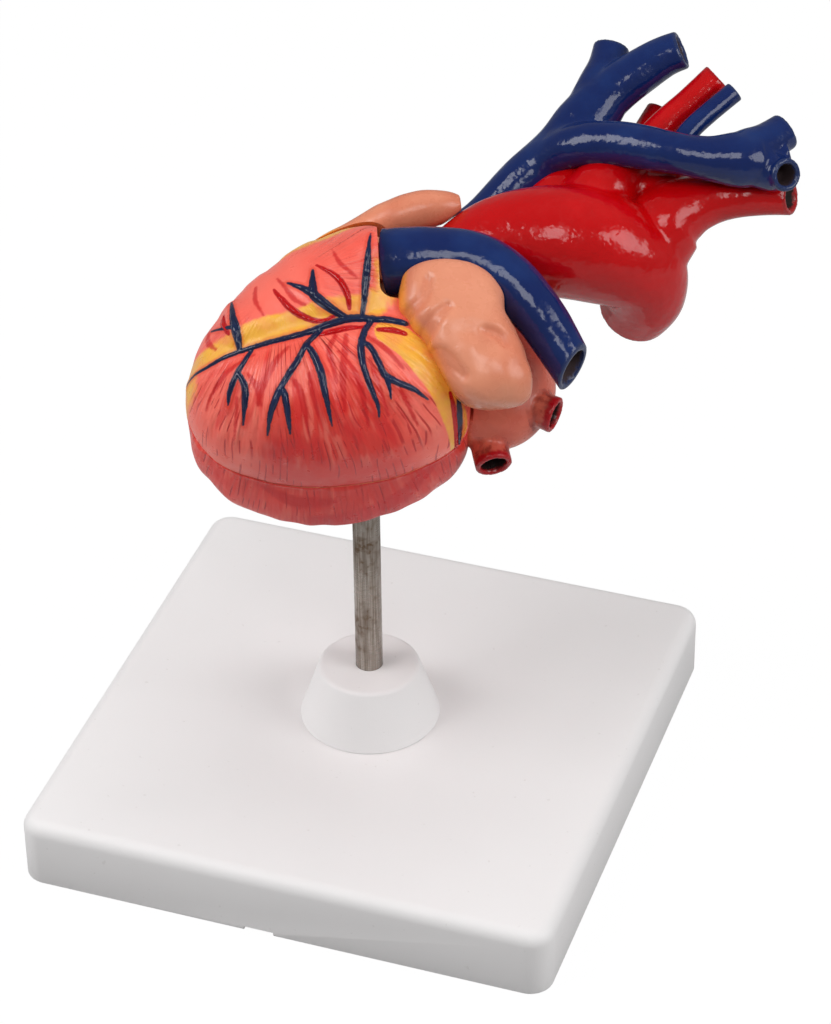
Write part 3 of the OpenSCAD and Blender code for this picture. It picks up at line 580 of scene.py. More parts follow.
def tube(stations, around=40, along=10, mouth=0.0, grow=0.0, drop=0.0, up=(0, 0, 1),
         uneven=0.0, seed=0, slant=(0, 0, 0), lip=False):
    """Round profile carried along a smooth route. An open end has a rounded lip and a blind
    hole that is mouth deep, and its face leans back by slant times the offset from the axis.
    drop lets the lower half hang down, for a cutter; lip rounds the first edge."""
    q = route(stations, along)
    t = headings(q)
    a = unit(np.cross(t, np.array(up, float)))
    b = np.cross(a, t)
    u = full_turn(around)
    rows = [(q[i, :3], q[i, 3] + grow, t[i], a[i], b[i]) for i in range(len(q))]
    if mouth:
        c, r, h, ha, hb = rows[-1]
        step = np.linalg.norm(q[-1, :3] - q[-2, :3])
        profile = [(-min(0.9, step * 0.8), 0.0), (-0.32, 0.05), (-0.08, 0.25), (0, 0.6), (0, WALL - 0.45),
                   (-0.1, WALL - 0.12), (-0.5, WALL), (-mouth * 0.5, WALL + 0.1 * r),
                   (-mouth, WALL + 0.2 * r)]
        rows = rows[:-1] + [(c + s * h, r - inset, h, ha, hb) for s, inset in profile]
    if lip:
        c, r, h, ha, hb = rows[0]
        profile = [(0, 0.7), (0.08, 0.3), (0.3, 0.08), (0.7, 0.0)]
        rows = [(c + s * h, r - inset, h, ha, hb) for s, inset in profile] + rows[1:]
    centre, radius, _, first, second = (np.array(column) for column in zip(*rows))
    offset = np.cos(u)[None, :, None] * first[:, None] + np.sin(u)[None, :, None] * second[:, None]
    grid = centre[:, None] + radius[:, None, None] * offset
    grid[..., 2] -= drop * (np.sin(u) < -0.01)[None]
    left = np.linalg.norm(centre - q[-1, :3], axis=1)
    bite = (1 - ease(7, 16, left))[:, None] * radius[:, None] * (offset @ np.array(slant, float))
    grid = grid - bite[..., None] * t[-1]
    if uneven:
        grid = grid + offset * (uneven * rolling(grid, 9.0, seed))[..., None]
    return grid


def sized(stations, d):
    """Stations whose last number is a share of a diameter, given as a radius instead."""
    st = np.array(stations, float)
    st[:, 3] *= d / 2
    return st


# Routes in the heart's frame: x, y, z and a share of the vessel's own diameter
TRUNK = sized([[23.1, 17.4, 17, 1.02], [33.4, 13.9, 18.9, 0.96], [45.1, 8.6, 19.2, 0.9],
               [51.9, 0.9, 19, 0.85], [56.2, -8.9, 18, 0.78], [59, -18.4, 16, 0.72],
               [61, -29, 14, 0.65]], 19)
AORTA = sized([[36.5, 11, 0, 0.72], [47, 15, 3, 0.82], [58.5, 15.5, 4.5, 0.95], [72.6, 11, 5, 1.06],
               [84.3, 5.4, 2, 1.06], [92, -1, -4, 0.93], [93.2, -5.5, -13, 0.78],
               [90, -6, -23, 0.7]], 30)
ARCH_UP = (-0.13, 0.85, -0.41)
CAVA = sized([[51, 28.5, -8.5, 0.72], [58.5, 29.8, -7, 0.82], [71.4, 34.7, -4, 0.95],
              [84, 39, -1, 1], [93, 43.6, 1, 1.06], [100.7, 48.1, 2, 0.96]], 16)
STUB_A = sized([[94, 45, 1.5, 0.85], [100.6, 52.6, 1, 0.74], [106, 58.4, -0.5, 0.68],
                [110.2, 64.5, -2, 0.66]], 16)
STUB_B = sized([[95, 45, 2, 0.9], [105, 49.6, 3, 0.87], [114.5, 52, 4.5, 0.8],
                [121.5, 53.2, 5.5, 0.73], [127, 53.2, 6, 0.7]], 16)
LEFT_VEIN = sized([[66, 31, -4, 0.55], [73, 34.5, -2, 0.68], [80, 37, 2, 0.88], [88, 35.2, 7.5, 0.98],
                   [97, 30.6, 11.5, 0.99], [104, 25.2, 14.5, 0.97], [111, 19.6, 17, 0.9],
                   [118.5, 15.1, 17, 0.96], [126.5, 12.1, 16, 1.2], [132, 10.2, 15, 1.12]], 13)
STUB_C = sized([[127, 12.5, 16, 1.1], [132, 13.5, 15, 1.04], [137, 14.8, 14, 0.88],
                [143.5, 17, 12, 0.82]], 13)
STUB_D = sized([[130, 10.5, 15.5, 1], [133.5, 6.5, 15, 0.9], [135.8, 3.6, 16.8, 0.76],
                [136.9, 1.6, 19.2, 0.72]], 13)
STUB_E = sized([[133, 9.8, 15, 0.5], [137, 9.6, 15, 0.42], [141, 9.2, 15.5, 0.36]], 13)
SUBCLAVIAN = sized([[96, 2, -3, 2.6], [104.5, 7.6, 0.5, 2.5], [111, 8.8, 2, 2], [117.5, 8.2, 3, 1.6],
                    [124.2, 6.2, 4, 1.32], [132, 3.6, 4, 1.2], [139.5, 1, 3, 1.15]], 9)
INNOMINATE = sized([[80, 17, 2, 2.1], [90, 21.5, 3, 2.15], [98, 25.5, 3, 1.6], [105.7, 29.3, 2, 1.25],
                    [114.2, 34.1, 3, 1.05], [123.2, 37.6, 4, 1], [133.5, 41.9, 5, 1.02]], 9)
CAROTID = sized([[98, 24, -1, 1.1], [106.1, 32.3, -3, 1.05], [112, 38, -5, 1], [117, 42.5, -6, 0.95]], 9)
THYROID = sized([[110, 21, 9.5, 0.7], [113.5, 23.4, 11, 0.7], [118.4, 26.9, 11.5, 0.67],
                 [125.3, 30, 11.5, 0.66], [135, 33.8, 11, 0.66]], 9)
AURICLE = sized([[-18, 25, -4, 0.2], [-9, 29, -2.5, 0.28], [1.3, 31.5, 0.5, 0.36], [11, 32.5, 3, 0.46],
                 [20.4, 32.8, 5, 0.54], [30, 33.2, 7, 0.62], [39.2, 32.4, 8, 0.62],
                 [46.5, 30.8, 8, 0.5], [50.3, 29.9, 8, 0.3]], 18)
PULMONARY_VEINS = [sized(v, 11) for v in (
    [[44, -26, -6, 0.9], [49.5, -29.5, -5, 0.9], [54.4, -34.4, -4.0, 0.95]],
    [[35, -30, -10, 0.9], [34.2, -35.5, -9, 0.95], [33.4, -41, -8, 0.95]],
    [[44, -8, -20, 0.9], [47, -4, -24, 0.9], [51, 1, -28, 0.92]],
    [[38, -18, -20, 0.9], [39, -15, -26, 0.9], [41, -11, -31, 0.92]])]
LOW_CAVA = sized([[10, 24, -20, 1], [3, 27, -27, 1], [-3, 29, -34, 1.02]], 15)
# Cut faces: square to the vessel, or leaning back on the side given
SQUARE, LEANING, STEEP = (0, 0, 0), (-0.03, -0.08, 0.26), (-0.07, -0.2, 0.6)
TRUNK_END = (TRUNK, (0.45, 0.0, 0.38))
ARCH_ENDS = [(AORTA, SQUARE), (SUBCLAVIAN, STEEP), (INNOMINATE, LEANING), (CAROTID, LEANING)]
VEIN_ENDS = [(STUB_A, LEANING), (STUB_B, LEANING), (STUB_C, LEANING), (STUB_D, SQUARE)]
THYROID_END = (THYROID, LEANING)
PULMONARY_ENDS = [(vein, SQUARE) for vein in PULMONARY_VEINS]
LOW_CAVA_END = (LOW_CAVA, SQUARE)
# Raised folds of the aorta's wall under the left vein, round the roots of its branches
ROOT_FOLD = sized([[72, 25, -3, 1.5], [80, 27.5, -1.5, 1.5], [87, 27, -0.5, 1.4], [95, 23.5, 0, 1.3],
                   [102, 19, 0, 1.4], [109, 15, 1, 1.3], [117, 11.5, 2, 1]], 9)
# Clearance round the vessels, walls at their roots, and fits
GAP = 0.5
ROOT_T, RIM_T, FIT = 3.2, 1.5, 0.1
NOTCH_GAP, NOTCH_LOW = 1.9, 4.0
SEAM_ROOM = 0.9
TRUNK_AXIS = headings(route(TRUNK, 2))[0]


def open_tube(end, around, along=10, mouth=6.0, **more):
    """Closed solid of a vessel with an open end."""
    stations, slant = end
    return closed_grid("vessel", tube(stations, around, along, mouth=mouth, slant=slant, **more))


def mouth_field(p, ends):
    """Positive inside the holes of open ends, and the distance back from the nearest end,
    for ends given as stations and the slant of their face."""
    hole = np.full(len(p), -9.0)
    back = np.full(len(p), 99.0)
    for st, slant in ends:
        q = route(st, 10)
        h = headings(q)[-1]
        away = p - q[-1, :3]
        s = away @ h
        side = away - s[:, None] * h
        s = s + side @ np.array(slant, float)
        rho = np.linalg.norm(side, axis=1)
        here = (s > -9) & (s < 1.5) & (rho < q[-1, 3] + 1.2)
        hole = np.where(here, np.maximum(hole, q[-1, 3] - WALL - rho), hole)
        back = np.where(here, np.minimum(back, -s), back)
    return hole, back


def rod_cylinder(name, base, r, length, axis=(1, 0, 0)):
    """Cylinder from base along an axis."""
    axis = np.array(axis, float)
    a = unit(np.cross(axis, [0.0, 0.0, 1.0]))
    b = np.cross(axis, a)
    t = full_turn(64)[:, None]
    ring = base + r * (np.cos(t) * a + np.sin(t) * b)
    return closed_grid(name, np.array([ring, ring + length * axis]))


def vessel_room():
    """Space that the great vessels sweep as they pull out, as a list of cutters."""
    out = np.array([GAP, 0, 0])
    return [closed_grid("room_trunk", tube(TRUNK, 48, grow=GAP)),
            closed_grid("room_arch", tube(AORTA, 64, grow=GAP, up=ARCH_UP)),
            rod_cylinder("sweep_trunk", TRUNK[0, :3], TRUNK[0, 3] + GAP, 60),
            rod_cylinder("sweep_root", AORTA[0, :3] - out, AORTA[1, 3] + GAP, 60),
            rod_cylinder("sweep_arch", AORTA[1, :3], AORTA[1, 3] + GAP, 60),
            rod_cylinder("sweep_cava", CAVA[0, :3] - out, CAVA[0, 3] + GAP + 0.8, 60)]


def trunk_channel():
    """Way down to the pulmonary trunk, so that the front wall lifts off past it."""
    return closed_grid("channel", tube(TRUNK, 48, grow=GAP, drop=FRONT_H))


def seam_column(low):
    """Upright column over the seam outline, a little larger, from a height up."""
    t = np.arange(180) * 2
    r = outline(RIM, t) + SEAM_ROOM
    ring = np.stack([MID[0] + r * np.cos(np.radians(t)), MID[1] + r * np.sin(np.radians(t))], -1)
    return stacked("seam_column", ring, (low, 80.0))


def lobed(c, r, folds, seed):
    """Egg about c: r0 cos(a), r1 sin(a) cos(t), r2 sin(a) sin(t), its skin softly folded."""
    a = np.radians(4 + 172 * np.linspace(0, 1, 60))[:, None]
    t = full_turn(90)[None]
    p = np.stack([r[0] * np.cos(a) + 0 * t, r[1] * np.sin(a) * np.cos(t), r[2] * np.sin(a) * np.sin(t)], -1)
    p = p + unit(p) * (folds * rolling(p, 11.0, seed))[..., None]
    return p + np.array(c, float)


def mouthed(obj, ends=()):
    """Attributes that tell the paint where the open ends are."""
    hole, back = mouth_field(points(obj), ends)
    attribute(obj, "hole", hole)
    attribute(obj, "back", back)


# ---- finishes
class Value:
    """A shader socket that does sums: each operator adds a Math node."""

    def __init__(self, look, socket):
        self.look, self.socket = look, socket

    def _sum(self, operation, *terms):
        return self.look.node("ShaderNodeMath", {"operation": operation}, *terms)

    def __add__(self, other):
        return self._sum("ADD", self, other)

    def __sub__(self, other):
        return self._sum("SUBTRACT", self, other)

    def __rsub__(self, other):
        return self._sum("SUBTRACT", other, self)

    def __mul__(self, other):
        return self._sum("MULTIPLY", self, other)

    __radd__, __rmul__ = __add__, __mul__

    def most(self, other):
        return self._sum("MAXIMUM", self, other)

    def wave(self):
        return self._sum("SINE", self)

    def ease(self, low, high, bottom=0.0, top=1.0):
        """bottom below low and top above high, smooth between."""
        return self.look.node("ShaderNodeMapRange", {"interpolation_type": "SMOOTHSTEP"},
                              self, low, high, bottom, top)


def paint(red, green, blue):
    """Linear colour from eight-bit display values."""
    c = np.array([red, green, blue]) / 255
    return (*np.where(c <= 0.04045, c / 12.92, ((c + 0.055) / 1.055) ** 2.4), 1.0)


class Look:
    """One material, or the world; node() makes any node from its type, settings and inputs."""

    def __init__(self, name, owner=None):
        self.owner = owner or bpy.data.materials.new(name)
        self.owner.use_nodes = True
        self.tree = self.owner.node_tree
        self.tree.nodes.clear()

    def node(self, kind, settings=None, *inputs, out=0, **named):
        made = self.tree.nodes.new(kind)
        for key, value in (settings or {}).items():
            setattr(made, key, value)
        for key, value in [*enumerate(inputs), *named.items()]:
            socket = made.inputs[key if isinstance(key, int) else key.replace("_", " ")]
            if isinstance(value, Value):
                self.tree.links.new(value.socket, socket)
            elif value is not None:
                socket.default_value = value
        return Value(self, made.outputs[out]) if made.outputs else made

    def attribute(self, name):
        """One of the numbers that the script gave to the mesh's points."""
        return self.node("ShaderNodeAttribute", {"attribute_name": name}, out="Fac")

    def noise(self, scale, detail=2.0, stretch=(1, 1, 1), rough=0.5):
        """Noise in object space; scale is in patches to the metre."""
        place = self.node("ShaderNodeTexCoord", out="Object")
        where = self.node("ShaderNodeMapping", None, place, Scale=stretch)
        return self.node("ShaderNodeTexNoise", None, Vector=where, Scale=scale, Detail=detail,
                         Roughness=rough)

    def streaks(self, across, along, seed, detail=1.0):
        """Noise stretched down the muscle, with patches of these sizes in millimetres."""
        where = self.node("ShaderNodeCombineXYZ", None, self.attribute("fan") * (1 / across),
                          self.attribute("fall") * (1 / along), seed)
        return self.node("ShaderNodeTexNoise", None, Vector=where, Scale=1.0, Detail=detail)

    def comb(self, gap, length, seed, scarce):
        """Fine lines down the muscle about gap apart: a sine whose phase wanders, let through
        only where a patchy noise, as long as the lines, is above a level."""
        phase = self.attribute("fan") * (2 * math.pi / gap) + self.streaks(12, 40, seed) * 24
        patches = self.streaks(gap * 1.6, length, seed + 9, 0.0)
        return phase.wave().ease(0.7, 1.0) * patches.ease(scarce - 0.02, scarce + 0.1)

    def mixed(self, amount, first, second):
        """first and second blended by amount, which is 0 for first; colours are inputs 6 and 7."""
        return self.node("ShaderNodeMix", {"data_type": "RGBA"}, amount, *[None] * 5, first, second, out=2)

    def bump(self, height, depth, before=None):
        """Surface height times depth, in metres."""
        return self.node("ShaderNodeBump", None, Strength=1.0, Distance=depth, Height=height, Normal=before)

    def finish(self, colour, roughness, normal, **constants):
        """Closes the material; constants go on the shader's own sockets."""
        shader = self.node("ShaderNodeBsdfPrincipled", None, Base_Color=colour, Roughness=roughness,
                           Normal=normal, **constants)
        self.node("ShaderNodeOutputMaterial", None, shader)
        return self.owner


def gloss_vessel(name, deep, thin, lip, dark):
    """Thick glossy paint, thinner here and there, with slow waves from the brush and a fine
    orange peel, a painted lip and a dark hole."""
    look = Look(name)
    patchy = look.noise(75, 3.0).ease(0.42, 0.75)
    colour = look.mixed(patchy * 0.45, deep, thin)
    ragged = look.noise(900, 2.0) - 0.5
    back = look.attribute("back") + ragged * 0.8
    colour = look.mixed(back.ease(1.3, 0.5), colour, lip)
    hole = (look.attribute("hole") + ragged * 0.5).ease(-0.1, 0.25)
    colour = look.mixed(hole, colour, dark)
    rough = look.noise(400, 2.0).ease(0.3, 0.8, 0.1, 0.2) + hole * 0.7
    normal = look.bump(look.noise(1500, 1.0), 0.00002, look.bump(look.noise(230, 2.0), 0.00035))
    return look.finish(colour, rough, normal, Specular_IOR_Level=0.45)


def muscle_look(name, light, deep, low):
    """Satin salmon paint over striated muscle. Long ridges are a noise stretched down its
    fall; the fine cuts are two combs. Over it lie a red wash, yellow fat, brush strokes and
    the painted feet of the vessels. Towards the low side the red deepens, partly the paint's
    own and partly painted shade, and a painted highlight of lighter pink runs along the ridges."""
    look = Look(name)
    cloudy = look.noise(60, 3.0)
    fine = look.noise(700, 3.0)
    ragged = (fine - 0.5) * 0.7 + (cloudy - 0.5) * 0.8
    ridge = look.attribute("ridge")
    long = look.streaks(1.5, 15, 0.5)
    fat = (look.attribute("fat") + ragged * 0.35).ease(0.3, 0.62)
    slits = look.comb(2.4, 13, 7.5, 0.55) * ridge
    cuts = slits.most(look.comb(1.6, 7.5, 3.5, 0.55) * look.attribute("hatch")) * (1 - fat)
    colour = look.mixed(cloudy.ease(0.4, 0.68) * 0.6, light, deep)
    # painted shade, in part: the low mark deepens the red towards the lower side that turns away from the
    # light, over the paint's own deeper red
    colour = look.mixed((look.attribute("low") + ragged * 0.2).ease(0.05, 0.95) * 0.9, colour, low)
    # painted highlight: lighter pink along the crests of the long ridges, where the satin sheen would catch
    # the light
    colour = look.mixed(long.ease(0.53, 0.68) * ridge * 0.4, colour, paint(252, 138, 118))
    wash = look.streaks(3.4, 26, 5.5).ease(0.54, 0.66) * ridge
    colour = look.mixed(wash * 0.6, colour, paint(214, 26, 30))
    colour = look.mixed(cuts * 0.85, colour, paint(192, 32, 36))
    yellow = look.mixed(look.noise(160, 3.0).ease(0.4, 0.7), paint(246, 184, 60), paint(246, 160, 76))
    colour = look.mixed(fat * 0.92, colour, yellow)
    stroke = (look.attribute("stroke") + ragged * 1.1).ease(0.45, -0.25)
    colour = look.mixed(stroke * 0.8, colour, paint(200, 22, 28))
    fringe = (look.attribute("vein") + ragged * 1.2).ease(1.2, 0.1)
    colour = look.mixed(fringe * 0.5, colour, paint(206, 52, 28))
    artery = (look.attribute("artery") + ragged * 0.5).ease(0.35, 0.0)
    colour = look.mixed(artery, colour, paint(184, 12, 22))
    vein = (look.attribute("vein") + ragged * 0.7).ease(0.1, -0.15)
    colour = look.mixed(vein, colour, paint(22, 30, 60))
    flesh = look.mixed(look.noise(120, 3.0).ease(0.35, 0.7), paint(222, 92, 74), paint(238, 146, 110))
    colour = look.mixed(look.attribute("inner").ease(0.35, 0.75), colour, flesh)
    rough = look.noise(300, 2.0).ease(0.3, 0.8, 0.27, 0.42)
    normal = look.bump(fine, 0.00005, look.bump(look.noise(260, 2.0), 0.00014))
    normal = look.bump(long * ridge, 0.0011, normal)
    normal = look.bump(1 - cuts, 0.0001, normal)
    return look.finish(colour, rough, normal, Specular_IOR_Level=0.45)


def auricle_look(name, light, shade, warm, wash):
    """Satin paint that turns warmer towards the base and red towards the open ends, and darker
    along its folds and creases as painted shade.
    """
    look = Look(name)
    cloudy = look.noise(55, 3.0)
    colour = look.mixed(cloudy.ease(0.35, 0.7), light, shade)
    base = (look.attribute("fat") + (cloudy - 0.5) * 0.5).ease(0.25, 0.8)
    colour = look.mixed(base * 0.85, colour, warm)
    # painted shade: darker along the folds and creases that the groove mark follows
    colour = look.mixed(look.attribute("groove").ease(0.2, 0.9) * 0.4, colour, shade)
    ragged = look.noise(900, 2.0) - 0.5
    back = look.attribute("back") + ragged * 1.6
    streaky = look.noise(300, 3.0, (1, 1, 0.3)).ease(0.4, 0.6)
    colour = look.mixed(back.ease(9.0, 2.5) * streaky * 0.8, colour, wash)
    colour = look.mixed(back.ease(2.6, 1.4), colour, paint(168, 14, 24))
    hole = (look.attribute("hole") + ragged * 0.5).ease(-0.1, 0.25)
    colour = look.mixed(hole, colour, paint(34, 18, 18))
    rough = look.noise(260, 2.0).ease(0.3, 0.8, 0.24, 0.38)
    normal = look.bump(look.noise(600, 2.0), 0.00005, look.bump(look.noise(200, 2.0), 0.0002))
    return look.finish(colour, rough, normal, Specular_IOR_Level=0.45)


def plastic_look(name, colour, rough):
    """Moulded plastic with a fine spark-eroded skin and a faint unevenness."""
    look = Look(name)
    shade = look.mixed(look.noise(14, 2.0).ease(0.35, 0.7), colour, (*(c * 0.965 for c in colour[:3]), 1.0))
    speck = look.noise(520, 1.0).ease(0.74, 0.8)
    shade = look.mixed(speck * 0.12, shade, paint(150, 140, 130))
    return look.finish(shade, look.noise(90, 2.0).ease(0.3, 0.7, rough - 0.05, rough + 0.06),
                       look.bump(look.noise(2600, 2.0), 0.00003, look.bump(look.noise(25, 1.0), 0.0002)))


def steel_look(name):
    """Drawn steel: fine rings round the rod, faint scratches and a brown stain."""
    look = Look(name)
    rings = look.noise(30, 3.0, (4, 4, 90))
    long = look.noise(60, 3.0, (40, 40, 1.2))
    stain = look.noise(75, 4.0, (1, 1, 0.55), 0.65).ease(0.48, 0.64)
    grit = look.noise(520, 3.0).ease(0.45, 0.62)
    colour = look.mixed(long.ease(0.3, 0.7), paint(176, 168, 160), paint(138, 128, 118))
    colour = look.mixed(stain * (grit * 0.6 + 0.3), colour, paint(104, 80, 58))
    rough = rings.ease(0.3, 0.7, 0.22, 0.36) + stain * 0.2
    return look.finish(colour, rough, look.bump(rings, 0.00004, look.bump(long, 0.00003)), Metallic=1.0)


def simple_look(name, first, second, rough, metal, depth):
    """Two close shades in soft patches, and a faint unevenness."""
    look = Look(name)
    colour = look.mixed(look.noise(180, 3.0).ease(0.35, 0.7), first, second)
    return look.finish(colour, look.noise(300, 2.0).ease(0.3, 0.7, rough - 0.05, rough + 0.08),
                       look.bump(look.noise(500, 2.0), depth), Metallic=metal)


DARK_HOLE, BROWN_HOLE = paint(30, 18, 16), paint(52, 36, 38)
VENOUS = gloss_vessel("venous_paint", paint(14, 34, 88), paint(26, 56, 114), paint(34, 48, 90), BROWN_HOLE)
ARTERIAL = gloss_vessel("arterial_paint", paint(186, 4, 8), paint(206, 14, 18), paint(160, 8, 14), DARK_HOLE)
BLUE_BLACK = paint(20, 30, 62)
CORONARY = gloss_vessel("coronary_blue_paint", BLUE_BLACK, paint(34, 54, 92), BLUE_BLACK, BLUE_BLACK)
FRONT_MUSCLE = muscle_look("front_muscle_paint", paint(250, 114, 98), paint(236, 78, 64), paint(222, 46, 38))
BACK_MUSCLE = muscle_look("back_muscle_paint", paint(230, 68, 58), paint(212, 48, 42), paint(196, 36, 34))
ATRIAL = auricle_look("auricle_paint", paint(226, 146, 114), paint(212, 124, 94), paint(242, 160, 62),
                      paint(150, 30, 34))
ATRIUM = auricle_look("atrium_paint", paint(214, 108, 86), paint(196, 84, 68), paint(230, 146, 68),
                      paint(120, 18, 22))
WHITE = plastic_look("white_plastic", paint(240, 238, 238), 0.5)
GREY = plastic_look("grey_plastic", paint(74, 74, 76), 0.45)
STEEL = steel_look("drawn_steel")
IVORY = simple_look("valve_paint", paint(232, 208, 160), paint(222, 176, 128), 0.35, 0.0, 0.00006)
PLATED = simple_look("plated_magnet", paint(196, 196, 198), paint(180, 180, 184), 0.22, 1.0, 0.00002)

# ---- the front wall and what it carries
FINE = 0.3
MAGNETS = [(-37.5, -3.0), (25.5, -4.5), (16.0, -29.5)]
POCKET_R, SOCKET_R = 3.1, 6.56


def block(low, high):
    """Box between two corners."""
    (x0, y0, z0), (x1, y1, z1) = low, high
    return stacked("block", [(x0, y0), (x1, y0), (x1, y1), (x0, y1)], (z0, z1))


def disc_pockets(side):
    """Pockets for the magnets on one side of the seam."""
    for centre in MAGNETS:
        yield stacked("pocket", np.array(centre) + circle(40, POCKET_R), (side * 0.15, side * 2.85))


def notch_block():
    """Notch beside the end of the pulmonary trunk: a square with one round corner, turned
    to the trunk's own direction and set below its end."""
    t = np.radians(np.linspace(180, 270, 14))
    ring = np.vstack([np.column_stack([3 + 3 * np.cos(t), 3 + 3 * np.sin(t)]), [(60, 0), (60, 60), (0, 60)]])
    ring = ring + [-NOTCH_GAP, -TRUNK[0, 3] - NOTCH_LOW]
    slant = math.atan2(TRUNK_AXIS[1], TRUNK_AXIS[0])
    c, d = math.cos(slant), math.sin(slant)
    ring = ring @ np.array([[c, d], [-d, c]]) + TRUNK[0, :2]
    return stacked("notch", ring, (-1.0, 79.0))


MARKS = {"fan": 0, "fall": 0, "ridge": 0, "hatch": 0, "low": 0, "fat": 0, "inner": 0,
         "vein": 9, "artery": 9, "stroke": 9}


def muscle_marks(obj, **given):
    """The numbers that the muscle paint reads, each an array over the mesh's points."""
    for name, plain in MARKS.items():
        attribute(obj, name, given.get(name, plain) + np.zeros(len(obj.data.vertices)))


def front_fat(x, y):
    """Yellow fat: above the main vein, along the groove to the auricle, and round the apex."""
    above = over_vein(x, y)
    band = np.exp(-((above - 3.0) / 3.6) ** 2) * ease(-46, -38, x) * (1 - ease(12, 19, x))
    patch = 1.1 * hump(x, y, -18, 6.4, 8, 3.2) + 0.9 * hump(x, y, 1, 6.2, 7, 2.8)
    patch = patch + 0.7 * hump(x, y, 14.5, 3.5, 5, 4)
    side = 1 - ease(0.0, 3.0, line_distance(x, y, FAT_LINE))
    apex = 0.75 * hump(x, y, -42, 4, 5, 7)
    top = 0.9 * hump(x, y, 10, 33, 30, 5.5)
    edge = 0.55 * hump(x, y, 20, 9, 4, 9)
    band = 0.75 * band * np.where(above < 0, 0.75, 1)
    return np.minimum(band + 0.55 * patch + side + apex + top + edge, 1.2)


def paint_front(wall):
    """Marks over the front wall: the low side is combed and deep red, the red deepening towards
    the bottom partly as painted shade; the edge is hatched.
    """
    x, y, z = points(wall).T
    q = share(x, y)
    radius = outline(RIM, polar(x, y)[1])
    deep = inside(x, y, z, q, radius, FRONT_H, front_z(x, y) + front_relief(x, y))
    inner = np.where(z < SEAM + 0.04, 1.0, ease(0.9, 1.9, deep))
    low_side = 1 - ease(-5, 0, over_vein(x, y))
    spread = np.hypot(x - SPREAD[0], y - SPREAD[1])
    down = spread + np.maximum(FRONT_H - z, 0)
    calm = ease(8, 20, spread)
    rough_side = np.maximum(low_side, 0.4 * ease(3, 8, y) * calm) * (1 - ease(0.9, 0.985, q))
    hatch = low_side * ease(0.60, 0.80, q)
    # deeper red towards the bottom: partly the paint's own and partly painted shade of the side turned down
    # from the light
    band = ease(-8, -27, y) * np.exp(-((x + 10) / 23) ** 4)
    muscle_marks(wall, fan=fan(x, y, SPREAD), fall=down, ridge=rough_side, hatch=hatch,
                 low=band, fat=front_fat(x, y), inner=inner, vein=line_distance(x, y, VEINS),
                 artery=line_distance(x, y, ARTERIES), stroke=line_distance(x, y, STROKES))


def on_front(line, sink):
    """A line of the plane laid on the front wall, sunk by a depth."""
    st = np.array(line, float)
    z = front_z(st[:, 0], st[:, 1]) + front_relief(st[:, 0], st[:, 1]) - sink
    return np.column_stack([st[:, 0], st[:, 1], z, st[:, 2]])


def vessel_tree(lines, girth, sink):
    """Half-sunk tubes on the front wall, joined where they fork."""
    parts = []
    for n, line in enumerate(lines):
        st = route(line, 3)
        st[:, 2] *= girth * (1 + 0.42 * plane_noise(st[:, 0], st[:, 1], 2.0, 80 + n))
        parts.append(closed_grid("twig", tube(on_front(st, sink), 16, 2)))
    return relaxed(fused(*parts, voxel=FINE), 4)


# The left auricle: middle and radii of its outline, and the folds carved into it
LOBE_MID = np.array([36.0, -11.0])
LOBE = [12, 14, 17, 20, 22, 23.3, 20, 15.8, 13, 13.2, 15, 20, 23.5, 25.5, 18.5, 13.5]
FOLDS = [[[21, -12.2, 1.0], [26.8, -8.8, 1.2], [32.5, -6, 0.2]],
         [[21.5, -15.5, 1.0], [26, -18.2, 1.2], [29.7, -25.5, 0.2]],
         [[20, -3, 0.8], [26.9, -1, 0.8], [30.5, 4, 0.2]],
         [[40, -16.5, 0.2], [42.6, -18.6, 0.5], [43.6, -21.6, 0.2]]]


def left_auricle_skin():
    """Flat lobe over an outline: its radius shrinks as cos(a)^0.8 and its height follows
    |sin(a)|^0.8 above and below, with one soft fold across the upper side."""
    a = np.radians(np.linspace(88, -88, 110))[:, None]
    t = np.arange(220)[None] * 360 / 220
    q = np.cos(a) ** 0.8
    r = q * outline(LOBE, t)
    x = LOBE_MID[0] + r * np.cos(np.radians(t))
    y = LOBE_MID[1] + r * np.sin(np.radians(t))
    up = np.sin(a)
    z = 22 + np.where(up > 0, 10.5, 14) * np.abs(up) ** 0.8 * np.sign(up)
    z = z + np.where(up > 0, 0.9 * up * q * np.cos(np.radians(2 * t + 40)), 0)
    return np.stack([x, y, z], -1)


def lobe_folds(p):
    """1 along the folds carved into the auricle's upper side, fading to 0 beside them."""
    away = np.maximum(line_distance(p[:, 0], p[:, 1], FOLDS), 0)
    return np.exp(-(away / 1.3) ** 2) * ease(20, 27, p[:, 2])


front_skin = closed_grid("front_skin", dome(1, 480, 150, front_relief))
cut(front_skin, left_chamber(), right_chamber(), notch_block(),
    trunk_channel(), *vessel_room(), *disc_pockets(1))

auricle = closed_grid("auricle_skin", left_auricle_skin())
p = points(auricle)
set_points(auricle, p + facing(auricle) * (0.7 * rolling(p, 10.0, 91) - 1.0 * lobe_folds(p))[:, None])
cut(auricle, trunk_channel(), *vessel_room())
cut(auricle, front_skin, keep=True)
p = points(auricle)
height = p[:, 2] - front_z(p[:, 0], p[:, 1])
attribute(auricle, "fat", ease(11, -1, np.minimum(height, 17)) * (1 - ease(32, 41, p[:, 0])))
# groove: where the paint darkens along the carved folds, painted shade
attribute(auricle, "groove", lobe_folds(p))
mouthed(auricle)

veins = vessel_tree(VEINS, 0.72, 0.2)
arteries = vessel_tree(ARTERIES, 0.7, 0.1)
for tree in (veins, arteries):
    mouthed(tree)

